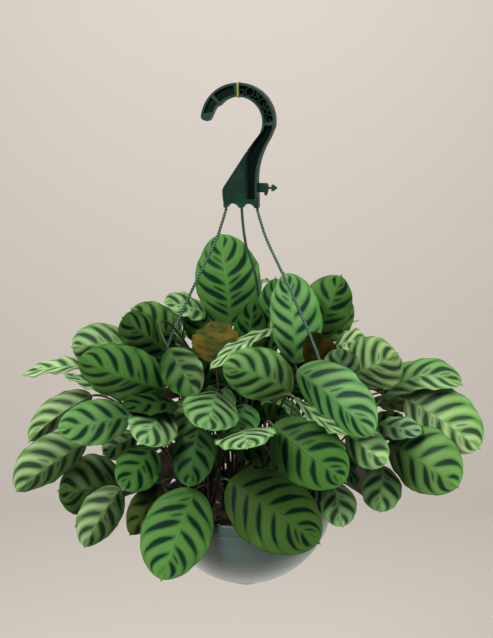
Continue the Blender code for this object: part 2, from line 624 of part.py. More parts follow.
class Leaf:
    """A leaf blade: its midrib, the directions of its two halves and its half width."""

    def __init__(self, name, base, tip, half_width, toward, roll, fold, bow):
        self.name = name
        self.base = base
        self.tip = tip
        self.chord = tip - base
        side = self.chord.cross(toward).normalized()
        normal = side.cross(self.chord).normalized()
        turn = math.radians(roll)
        self.face = normal * math.cos(turn) + side * math.sin(turn)
        self.sideways = -side * bow
        self.half_width = half_width
        self.fold = math.radians(fold)
        self.phase = (sum(map(ord, name)) % 12) * math.tau / 12

    def midrib(self, t):
        lift = self.face * (LEAF_ARCH * self.chord.length)
        return self.base + self.chord * t + (self.sideways + lift) * (4 * t * (1 - t))

    def direction(self, t):
        lift = self.face * (LEAF_ARCH * self.chord.length)
        return (self.chord + (self.sideways + lift) * (4 - 8 * t)).normalized()

    def spread(self, t):
        """The half width at t, as a share of the widest."""
        return math.sin(math.pi * t ** BLADE_SKEW) ** BLADE_FULLNESS

    def rib_normal(self, t):
        right = self.direction(t).cross(self.face).normalized()
        return right.cross(self.direction(t)).normalized()

    def point(self, t, across):
        """A point of the blade: t runs from base to tip, across from -1 to 1, left to right."""
        right = self.direction(t).cross(self.face).normalized()
        normal = self.rib_normal(t)
        reach = abs(across) * self.half_width * self.spread(t)
        outward = right * math.copysign(math.cos(self.fold), across) - normal * math.sin(self.fold)
        wave = math.sin(math.tau * WAVES_PER_LEAF * t + self.phase + (2.1 if across > 0 else 0.0))
        lift = WAVE_HEIGHT * wave * across * across * self.spread(t)
        return self.midrib(t) + outward * reach + normal * lift


def blade_loops(leaf, grow=0.0):
    """Rings of six points round the blade, and its last two points at the tip."""
    half = BLADE_THICKNESS / 2 + grow
    loops = []
    for t in BLADE_ROWS:
        normal = leaf.rib_normal(t)
        widen = 1 + grow / max(leaf.half_width * leaf.spread(t), 1 * MM)
        left, rib, right = (leaf.point(t, across) for across in (-widen, 0.0, widen))
        loops.append([left + normal * half, rib + normal * half, right + normal * half,
                      right - normal * half, rib - normal * half, left - normal * half])
    normal = leaf.rib_normal(1.0)
    tip = leaf.midrib(1.0) + leaf.direction(1.0) * grow
    return loops, (tip + normal * half, tip - normal * half)


def base_loop(leaf, grow=0.0):
    """The ring of six points where the petiole becomes the blade."""
    normal = leaf.rib_normal(0.0)
    right = leaf.direction(0.0).cross(leaf.face).normalized()
    reach = PETIOLE_RADIUS + grow
    return [leaf.base + right * (reach * math.cos(angle)) + normal * (0.8 * reach * math.sin(angle))
            for angle in (math.radians(degrees) for degrees in (150, 90, 30, -30, -90, -150))]


def blade_mesh(leaf, grow=0.0):
    """Points and triangles of the blade, open at its base ring."""
    loops, tip = blade_loops(leaf, grow)
    loops.insert(0, base_loop(leaf, grow))
    points = [point for loop in loops for point in loop] + list(tip)
    triangles = []
    for row in range(len(loops) - 1):
        low, high = 6 * row, 6 * row + 6
        # The upper and the lower face are split alike, so the thin blade can't cross itself.
        triangles += [(low, low + 1, high + 1), (low, high + 1, high)]
        triangles += [(low + 1, low + 2, high + 1), (low + 2, high + 2, high + 1)]
        triangles += [(low + 5, high + 4, low + 4), (low + 5, high + 5, high + 4)]
        triangles += [(low + 4, high + 4, low + 3), (low + 3, high + 4, high + 3)]
        triangles += [(low + 2, low + 3, high + 3), (low + 2, high + 3, high + 2)]
        triangles += [(low + 5, low, high), (low + 5, high, high + 5)]
    last = 6 * (len(loops) - 1)
    top = 6 * len(loops)
    low = top + 1
    triangles += [(last, last + 1, top), (last + 1, last + 2, top)]
    triangles += [(last + 5, low, last + 4), (last + 4, low, last + 3)]
    triangles += [(last + 2, last + 3, low), (last + 2, low, top)]
    triangles += [(last + 5, last, top), (last + 5, top, low)]
    return points, triangles


def bezier(points, t):
    a, b, c, d = points
    s = 1 - t
    return a * s ** 3 + b * (3 * s * s * t) + c * (3 * s * t * t) + d * t ** 3


def tube_loops(controls, leaf, radius, steps):
    """Rings of three points along a petiole, from its root to just short of the blade."""
    loops = []
    normal = leaf.rib_normal(0.0)
    for i in range(steps):
        t = i / steps
        here = bezier(controls, t)
        ahead = (bezier(controls, t + 0.05) - here).normalized()
        right = ahead.cross(normal)
        if right.length < 0.05:
            right = ahead.cross(leaf.chord)
        right.normalize()
        up = right.cross(ahead).normalized()
        loops.append([here + right * (radius * math.cos(a)) + up * (radius * math.sin(a))
                      for a in (math.radians(degrees) for degrees in (150, 30, -90))])
        normal = up
    return loops


def tube_triangles(count):
    """Triangles between rings of three points, and the cap at the root."""
    triangles = [(0, 2, 1)]
    for row in range(count - 1):
        low, high = 3 * row, 3 * row + 3
        for i in range(3):
            j = (i + 1) % 3
            triangles += [(low + i, low + j, high + j), (low + i, high + j, high + i)]
    return triangles


def leaf_solid(leaf, controls):
    """Points and triangles of a leaf with its petiole, as one closed body."""
    points, triangles = blade_mesh(leaf)
    start = len(points)
    loops = tube_loops(controls, leaf, PETIOLE_RADIUS, PETIOLE_STEPS)
    points += [point for loop in loops for point in loop]
    triangles += [tuple(start + i for i in triangle) for triangle in tube_triangles(len(loops))]
    a = start + 3 * (len(loops) - 1)
    left, right, low = a, a + 1, a + 2
    triangles += [(left, 1, 0), (left, right, 1), (right, 2, 1), (right, 3, 2), (right, low, 3), (low, 4, 3),
                  (low, 5, 4), (low, left, 5), (left, 0, 5)]
    return points, triangles


def tree_of(points, triangles):
    return BVHTree.FromPolygons([tuple(point) for point in points], triangles)


class Layout:
    """The leaves and petioles that have their place so far, and what they keep clear of."""

    def __init__(self, places):
        self.places = places
        self.leaves = []
        self.blades = []
        self.routes = []
        self.owners = []
        self.members = [[] for _ in places]
        # Sheaths and petioles, each with the number of the shoot that it belongs to.
        self.stems = [(k, sheath_tree(place)) for k, place in enumerate(places)]
        self.fixed = [bowl_tree()]
        for name in RIM_AZIMUTHS:
            self.fixed.append(self.strand_tree(name))

    def strand_tree(self, name):
        route = strand_route(name)
        reach = STRAND_RADIUS + CLEARANCE
        points = []
        for place in route:
            points += [place + Vector((reach, 0, 0)), place + Vector((-reach / 2, reach, 0)),
                       place + Vector((-reach / 2, -reach, 0))]
        return tree_of(points, tube_triangles(len(route)))

    def clear_of_pot(self, points):
        """Whether points keep outside the bowl, off its rim and higher than its foot."""
        keep_out = POT_RADIUS + RIM_BAND_STEP + 3 * MM
        clear = all(point.z > 4 * MM or point.length > keep_out for point in points)
        return clear and all(point.z > 4 * MM - FOOT_DEPTH for point in points)

    def blade_fits(self, leaf):
        points, triangles = blade_mesh(leaf, CLEARANCE)
        if not self.clear_of_pot(points):
            return None
        tree = tree_of(points, triangles)
        for other in self.fixed:
            if tree.overlap(other):
                return None
        for other in self.blades:
            if tree.overlap(other):
                return None
        return tree

    def add_blade(self, leaf, tree):
        self.leaves.append(leaf)
        self.blades.append(tree)
        self.routes.append(None)
        self.owners.append(None)

    def drop_last_blade(self):
        for kept in (self.leaves, self.blades, self.routes, self.owners):
            kept.pop()

    def add_petiole(self, index, shoot, controls, tree):
        self.routes[index] = controls
        self.owners[index] = shoot
        self.members[shoot].append(index)
        self.stems.append((shoot, tree))

    def petiole_fits(self, index, shoot, controls):
        """The petiole's tree if it crosses only leaves and stems of its own shoot, else nothing."""
        leaf = self.leaves[index]
        if dips_into_soil(controls):
            return None
        tree = route_tree(leaf, controls)
        if any(tree.overlap(other) for other in self.fixed):
            return None
        if any(owner != shoot and tree.overlap(other) for owner, other in self.stems):
            return None
        for other, blade in enumerate(self.blades):
            if other != index and self.owners[other] != shoot and tree.overlap(blade):
                return None
        return None if crosses_itself(leaf, controls) else tree

    def route_petiole(self, index):
        """Gives a leaf the first petiole that is clear, the nearest crowns first."""
        leaf = self.leaves[index]
        flat = Vector((leaf.base.x, leaf.base.y, 0))
        foot = flat * min(1.0, FOOT_REACH / max(flat.length, 1 * MM))
        distances = [(place - foot).length + SHOOT_CROWDING * len(self.members[k])
                     for k, place in enumerate(self.places)]
        ranked = sorted(range(len(distances)), key=lambda k: distances[k])
        for shoot in ranked[:CROWN_CHOICES]:
            if len(self.members[shoot]) >= LEAVES_PER_SHOOT:
                continue
            for controls in petiole_routes(leaf, self.places[shoot]):
                tree = self.petiole_fits(index, shoot, controls)
                if tree:
                    self.add_petiole(index, shoot, controls, tree)
                    return True
        return False


def front_leaf(row, shift, tilt):
    """A front leaf moved along the line of sight by a shift, with its tip tilted by a further one."""
    name, base, tip, half_width, roll, fold, bow, base_depth, tip_depth = row
    start = sight(*base, base_depth + shift)
    end = sight(*tip, tip_depth + shift + tilt)
    viewer = Vector((0, -VIEW_DISTANCE, VIEW_HEIGHT))
    toward = (viewer - (start + end) / 2).normalized()
    shrink = (VIEW_DISTANCE - (base_depth + tip_depth) / 2 * MM - shift * MM) / VIEW_DISTANCE
    return Leaf(name, start, end, half_width * MM * shrink, toward, roll, fold, bow * MM * shrink)


def place_front_leaves(layout):
    """Each measured leaf, at the first depth where it is clear of those before it."""
    shifts = [0]
    for step in range(NUDGE_STEP, NUDGE_REACH + 1, NUDGE_STEP):
        shifts += [-step, step]
    for row in FRONT_LEAVES:
        for tilt, shift in ((tilt, shift) for tilt in TIP_TILTS for shift in shifts):
            leaf = front_leaf(row, shift, tilt)
            tree = layout.blade_fits(leaf)
            if tree:
                layout.add_blade(leaf, tree)
                break
        else:
            raise RuntimeError(f"no clear place for the leaf {row[0]}")


def ring_leaf(name, draw, azimuth, radius, height, pitch, length):
    """A leaf of the back or sides: its base on a ring, its chord pitched up or down and outwards."""
    azimuth = math.radians(azimuth + draw.uniform(-AZIMUTH_STRAY, AZIMUTH_STRAY))
    heading = azimuth + math.radians(draw.uniform(-HEADING_STRAY, HEADING_STRAY))
    pitch = math.radians(pitch + draw.uniform(-PITCH_STRAY, PITCH_STRAY))
    length *= draw.uniform(0.85, 1.12)
    radius += draw.uniform(-PLACE_STRAY, PLACE_STRAY)
    height += draw.uniform(-PLACE_STRAY, PLACE_STRAY)
    base = Vector((radius * math.cos(azimuth), radius * math.sin(azimuth), height)) * MM
    out = Vector((math.cos(heading), math.sin(heading), 0))
    chord = (out * math.cos(pitch) + Vector((0, 0, 1)) * math.sin(pitch)) * (length * MM)
    toward = (out * 0.4 + Vector((0, 0, 1))).normalized()
    half_width = 0.3 * length * MM
    roll = draw.uniform(-ROLL_STRAY, ROLL_STRAY)
    fold = draw.uniform(6, 22)
    return Leaf(name, base, base + chord, half_width, toward, roll, fold, draw.uniform(-4, 4) * MM)


def front_view(point):
    """Where a point shows in the front view, in millimetres."""
    forward = Vector((0, math.cos(VIEW_PITCH), -math.sin(VIEW_PITCH)))
    upward = Vector((0, math.sin(VIEW_PITCH), math.cos(VIEW_PITCH)))
    reach = point - Vector((0, -VIEW_DISTANCE, VIEW_HEIGHT))
    scale = VIEW_RANGE / reach.dot(forward) / MM
    return reach.x * scale + VIEW_AIM[0], reach.dot(upward) * scale + VIEW_AIM[1]


def inside_outline(across, up):
    """Whether a front-view point lies within the foliage's outline, or behind the pot."""
    if up < 0 and math.hypot(across, up) < POT_RADIUS / MM - OUTLINE_MARGIN:
        return True
    within = False
    for i in range(len(FOLIAGE_OUTLINE)):
        (x1, y1), (x2, y2) = FOLIAGE_OUTLINE[i - 1], FOLIAGE_OUTLINE[i]
        if (y1 > up) != (y2 > up) and across < x1 + (up - y1) * (x2 - x1) / (y2 - y1):
            within = not within
    return within


def hidden_in_front_view(leaf):
    """Whether the blade keeps inside the outline, with a margin to its sides."""
    for t in (0.0, 0.2, 0.4, 0.6, 0.8, 0.95, 1.0):
        for side in (-1.0, 1.0):
            across, up = front_view(leaf.point(t, side))
            for shift in (-OUTLINE_MARGIN, OUTLINE_MARGIN):
                if not inside_outline(across + shift, up) or not inside_outline(across, up + shift):
                    return False
    return True


def place_blade(layout, leaf):
    """Adds a blade if it is clear and can't be seen past the front leaves."""
    tree = hidden_in_front_view(leaf) and layout.blade_fits(leaf)
    if tree:
        layout.add_blade(leaf, tree)
    return bool(tree)


def place_blade_and_petiole(layout, leaf):
    """The same for a blade with its petiole, among petioles that have their place."""
    if not place_blade(layout, leaf):
        return False
    tree = layout.blades[-1]
    clear = not any(tree.overlap(stem) for owner, stem in layout.stems)
    if clear and layout.route_petiole(len(layout.leaves) - 1):
        return True
    layout.drop_last_blade()
    return False


def place_rings(layout, rings, draw, place):
    """The leaves of some rings, each drawn again until it has a clear place."""
    for ring, count, (first, last), radius, height, pitch, length in rings:
        for i in range(count):
            azimuth = first + (last - first) * (i + 0.5) / count
            for _ in range(RING_TRIES):
                if place(layout, ring_leaf(f"{ring}{i}", draw, azimuth, radius, height, pitch, length)):
                    break


def route_petioles(layout):
    """A petiole for every leaf that has its blade's place, from the lowest leaf to the highest."""
    for index in sorted(range(len(layout.leaves)), key=lambda i: layout.leaves[i].base.z):
        if not layout.route_petiole(index):
            raise RuntimeError(f"no clear petiole reaches the leaf {layout.leaves[index].name}")


def lay_out_leaves():
    """Every leaf's place: the front by measurement, the rest by a seeded draw."""
    layout = Layout(crown_places())
    draw = random.Random(LEAF_SEED)
    place_front_leaves(layout)
    place_rings(layout, INNER_RINGS, draw, place_blade)
    route_petioles(layout)
    place_rings(layout, BACK_RINGS, draw, place_blade_and_petiole)
    return layout


def petiole_routes(leaf, crown):
    """Ways for a petiole from a crown to the leaf's base, the plainest first."""
    root = crown + Vector((0, 0, SOIL_TOP + 2 * PETIOLE_RADIUS))
    away = leaf.direction(0.0)
    gap = (leaf.base - root).length
    aside = (leaf.base - root).cross(Vector((0, 0, 1)))
    aside = aside.normalized() if aside.length > 1 * MM else Vector((1, 0, 0))
    for lift in PETIOLE_LIFTS:
        for pull in PETIOLE_PULLS:
            for side in PETIOLE_SIDES:
                shift = aside * (side * MM)
                climb = Vector((0, 0, gap * lift))
                yield (root, root + climb + shift * 0.5, leaf.base - away * (gap * pull) + shift, leaf.base)


def route_tree(leaf, controls):
    """The petiole as its solid will be, with its clearance, up to the blade's base."""
    reach = PETIOLE_RADIUS + CLEARANCE
    loops = tube_loops(controls, leaf, reach, PETIOLE_STEPS)
    normal = leaf.rib_normal(0.0)
    right = leaf.direction(0.0).cross(leaf.face).normalized()
    loops.append([leaf.base + right * (reach * math.cos(angle)) + normal * (reach * math.sin(angle))
                  for angle in (math.radians(degrees) for degrees in (150, 30, -90))])
    points = [point for loop in loops for point in loop]
    return tree_of(points, tube_triangles(len(loops)))


def sheath_tree(place):
    """A sheath with its clearance, as a prism over the soil."""
    reach = CROWN_RADIUS + CLEARANCE
    points = []
    for height in (SOIL_TOP, SOIL_TOP + CROWN_HEIGHT + CLEARANCE):
        for i in range(CROWN_SIDES):
            angle = math.tau * i / CROWN_SIDES
            points.append(place + Vector((reach * math.cos(angle), reach * math.sin(angle), height)))
    sides = [(i, (i + 1) % CROWN_SIDES, CROWN_SIDES + i) for i in range(CROWN_SIDES)]
    sides += [((i + 1) % CROWN_SIDES, CROWN_SIDES + (i + 1) % CROWN_SIDES, CROWN_SIDES + i)
              for i in range(CROWN_SIDES)]
    lid = [(CROWN_SIDES, CROWN_SIDES + i, CROWN_SIDES + i + 1) for i in range(1, CROWN_SIDES - 1)]
    return tree_of(points, sides + lid)


def crosses_itself(leaf, controls):
    """Whether the petiole runs through its own blade."""
    points, triangles = leaf_solid(leaf, controls)
    tree = tree_of(points, triangles)
    return any(a < b and not set(triangles[a]) & set(triangles[b]) for a, b in tree.overlap(tree))


def dips_into_soil(controls):
    """Whether the petiole comes down to the soil again after its root."""
    low = SOIL_TOP + 2 * PETIOLE_RADIUS
    for t in (0.25, 0.5, 0.75, 1.0):
        point = bezier(controls, t)
        if point.z < low and math.hypot(point.x, point.y) < POT_RADIUS:
            return True
    return False


def bowl_tree():
    """The bowl's wall and rim with their clearance, as one open shell."""
    outer = POT_RADIUS + CLEARANCE
    band = POT_RADIUS + RIM_BAND_STEP + 2 * CLEARANCE
    inner = POT_RADIUS - POT_WALL - 2 * CLEARANCE
    profile = [(outer * math.cos(angle), -outer * math.sin(angle))
               for angle in (math.radians(degrees) for degrees in (78, 60, 42, 24, 10))]
    profile += [(band, -RIM_BAND_HEIGHT), (band, 2 * CLEARANCE), (inner, 2 * CLEARANCE), (inner, SOIL_TOP)]
    points = [Vector((radius * math.cos(angle), radius * math.sin(angle), height))
              for radius, height in profile for angle in (math.tau * i / POT_SIDES for i in range(POT_SIDES))]
    triangles = []
    for row in range(len(profile) - 1):
        for i in range(POT_SIDES):
            j = (i + 1) % POT_SIDES
            low, high = row * POT_SIDES, (row + 1) * POT_SIDES
            triangles += [(low + i, low + j, high + j), (low + i, high + j, high + i)]
    return tree_of(points, triangles)


def make_shoot(name, layout, shoot, collection, cutters, frame):
    """One leafy shoot: its sheath in the soil, with the leaves fused to it."""
    low = SOIL_TOP - HOLE_DEPTH + SEAT_GAP
    high = SOIL_TOP + CROWN_HEIGHT
    sheath = crown_prism(name, layout.places[shoot], CROWN_RADIUS, CROWN_TOP_RADIUS, low, high, collection)
    joined = bpy.data.collections.new(f"{name} joins")
    for index in layout.members[shoot]:
        leaf = layout.leaves[index]
        points, triangles = leaf_solid(leaf, layout.routes[index])
        mesh = bpy.data.meshes.new(f"leaf_{leaf.name}")
        mesh.from_pydata([tuple(point) for point in points], [], triangles)
        joined.objects.link(add_object(mesh.name, mesh, cutters))
    add_boolean(sheath, "UNION", joined, solver="MANIFOLD")
    apply_modifiers(sheath)
    for piece in list(joined.objects):
        bpy.data.objects.remove(piece)
    bpy.data.collections.remove(joined)
    sheath.parent = frame
    set_material(sheath, "leaf green", (0.12, 0.3, 0.08), 0.45)
    return sheath


def main():
    for thing in list(bpy.data.objects):
        bpy.data.objects.remove(thing)
    parts = new_collection("hanging prayer plant", hidden=False)
    cutters = new_collection("cutters", hidden=True)
    frame = bpy.data.objects.new("pot frame", None)
    parts.objects.link(frame)
    inner_top = hook_point(0.0, HOOK_INNER_RADIUS)
    frame.location = -inner_top

    layout = lay_out_leaves()
    filled = [k for k, members in enumerate(layout.members) if members]
    make_pot(parts, frame)
    make_soil(parts, cutters, frame, [layout.places[k] for k in filled])
    make_hook(parts, cutters, frame)
    make_tie(parts, frame)
    for name in RIM_AZIMUTHS:
        make_strand(name, parts, cutters, frame)
    for number, k in enumerate(filled, start=1):
        make_shoot(f"shoot_{number:02d}", layout, k, parts, cutters, frame)


main()
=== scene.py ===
"""Prayer plant in a half-round hanging pot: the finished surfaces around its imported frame."""

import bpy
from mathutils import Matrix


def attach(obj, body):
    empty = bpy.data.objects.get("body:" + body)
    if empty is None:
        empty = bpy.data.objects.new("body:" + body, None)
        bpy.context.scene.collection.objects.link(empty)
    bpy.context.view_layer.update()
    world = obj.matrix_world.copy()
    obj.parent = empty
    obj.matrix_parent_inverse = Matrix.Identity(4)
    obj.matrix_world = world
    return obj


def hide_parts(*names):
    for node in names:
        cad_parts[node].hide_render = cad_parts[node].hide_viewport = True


bl_info = {
    "name": "Hanging Prayer Plant",
    "version": (1, 0, 0),
    "blender": (4, 5, 0),
    "location": "View3D > Sidebar > Hanging Plant",
    "description": "Builds the leaves, pot, soil, hook and strands of a hanging prayer plant",
    "category": "Object",
}

import random
from math import acos, asin, copysign, cos, degrees, hypot, pi, radians, sin, sqrt, tau

import bmesh
import bpy
from mathutils import Euler, Matrix, Vector, noise
from mathutils.bvhtree import BVHTree

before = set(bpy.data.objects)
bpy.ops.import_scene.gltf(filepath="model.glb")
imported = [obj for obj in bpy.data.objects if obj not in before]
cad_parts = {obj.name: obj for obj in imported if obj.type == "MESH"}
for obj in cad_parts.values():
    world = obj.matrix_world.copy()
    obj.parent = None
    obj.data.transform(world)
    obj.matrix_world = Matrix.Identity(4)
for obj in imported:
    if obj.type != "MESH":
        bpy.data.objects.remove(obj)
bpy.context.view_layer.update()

MM = 0.001

# Everything is worked out in the pot's own frame, whose origin is the middle of the rim. The packed
# frame's origin is the inner top of the hook.
HOOK_CENTRE = Vector((-8.6, 0.0, 450.9)) * MM
HOOK_INNER_RADIUS = 28.5
HOOK_YAW = radians(-13)
RIM_CENTRE = -(HOOK_CENTRE + Vector((0, 0, HOOK_INNER_RADIUS * MM)))
SEAT_GAP = 0.3 * MM

# Pot: a half-round bowl.
POT_RADIUS = 105 * MM
POT_WALL = 2.4 * MM
RIM_BAND_HEIGHT = 11 * MM
RIM_BAND_STEP = 1.2 * MM
FOOT_RADIUS = 20 * MM
FOOT_DEPTH = 108 * MM
POT_SIDES = 40

# Soil and the sheaths that stand in it.
SOIL_TOP = -12 * MM
CROWN_RADIUS = 4.4 * MM
CROWN_HEIGHT = 16 * MM
CROWN_SIDES = 6
CROWN_RINGS = ((1, 0.0), (6, 30.0), (10, 57.0), (13, 82.0))

# Hook: its outline is in millimetres round the centre of the arc's inner edge.
HOOK_OUTER_RADIUS = 43.6
HOOK_OUTER_CENTRE = (-0.6, 0.8)
HOOK_THICKNESS = 12 * MM
HOOK_EDGE = 2.6
HOOK_WEB = 3.0 * MM
POCKET_WEB = 2.0 * MM
TIE_RADIUS = 0.45 * MM
STRAND_TOP_X = {"left": -15.6, "back": 3.1, "right": 21.8}
STRAND_TOP_Z = -98.3
STRAND_NECK = 2.5 * MM

# Strands: each curves out below the hook, runs straight to its bend, then follows the foliage out to
# the rim, where it ends in a clip that straddles the rim band. The clip's sizes are in millimetres.
STRAND_RADIUS = 1.7 * MM
STRAND_POINTS = 13
CLIP_WIDTH = 9 * MM
CLIP_WALL = 2.4
CLIP_BLOCK = 4.0
CLIP_BRIDGE = 3.0
CLIP_TOP = 7.0
CLIP_INNER_LEG = 5.0
CLIP_INNER_GAP = 1.5
RIM_AZIMUTHS = {"left": 197.0, "back": 77.0, "right": 317.0}
# Where each strand curves below the hook and where it bends over the foliage: front-view across and
# up, and depth, in millimetres.
STRAND_SHOULDERS = {"left": (-31.4, 325.8, 2), "back": (-3.3, 325.8, -5), "right": (20.4, 325.8, 13)}
STRAND_KNEES = {"left": (-41.4, 300.8, 8), "back": (1.0, 300.8, -13), "right": (30.3, 300.8, 22)}
STRAND_BENDS = {"left": (-95.2, 183.1, 34), "back": (13.6, 254.0, -34), "right": (90.3, 162.4, 72)}
# A strand's last two bends before its clip: their heights over the rim, and how far outside the clip
# they lie. The back strand's first one lies inside the rim, among the leaves.
STRAND_LOWER = 110 * MM
STRAND_NEAR = 52 * MM
LOWER_OUT = {"left": 6 * MM, "back": -16.2 * MM, "right": 6 * MM}
NEAR_OUT = {"left": 4 * MM, "back": 1 * MM, "right": 4 * MM}
STRAND_END = 6 * MM

# Leaves and petioles.
BLADE_THICKNESS = 0.8 * MM
BLADE_SKEW = 0.96
BLADE_FULLNESS = 0.47
PETIOLE_RADIUS = 1.4 * MM
PETIOLE_STEPS = 4
LEAF_ARCH = 0.05
WAVE_HEIGHT = 1.7 * MM
WAVES_PER_LEAF = 2.5
WAVE_SHIFT = 2.1
BLADE_ROWS = (0.07, 0.2, 0.4, 0.6, 0.8, 0.93)
CLEARANCE = 0.9 * MM
LEAVES_PER_SHOOT = 6
# A petiole may rise from one of this many near crowns. Farther out than this reach no crown is
# wanted, and each leaf that a shoot already has counts as this much farther away.
CROWN_CHOICES = 14
FOOT_REACH = 70 * MM
SHOOT_CROWDING = 9 * MM
PETIOLE_LIFTS = (0.45, 0.7, 0.3, 0.95)
PETIOLE_PULLS = (0.25, 0.4, 0.12)
PETIOLE_SIDES = (0, 12, -12, 24, -24, 40, -40)
LEAF_SEED = 21
# A front leaf that meets another is moved along the line of sight in these steps, in millimetres,
# and then tried again with its tip nearer or farther.
NUDGE_STEP = 5
NUDGE_REACH = 70
TIP_TILTS = (0, -14, 14, -28, 28)

# The viewpoint that the front leaves were measured from: its distance in front of the pot's axis,
# its height above the rim, its downward pitch, its range to the rim's centre along the sight axis,
# and the front-view millimetres (across, up) that the sight axis meets.
VIEW_DISTANCE = 1.4403
VIEW_HEIGHT = 0.5157
VIEW_PITCH = radians(11.6)
VIEW_RANGE = 1.5146
VIEW_AIM = (0.6, 214.9)
VIEWER = Vector((0, -VIEW_DISTANCE, VIEW_HEIGHT))
VIEW_FORWARD = Vector((0, cos(VIEW_PITCH), -sin(VIEW_PITCH)))
VIEW_UPWARD = Vector((0, sin(VIEW_PITCH), cos(VIEW_PITCH)))

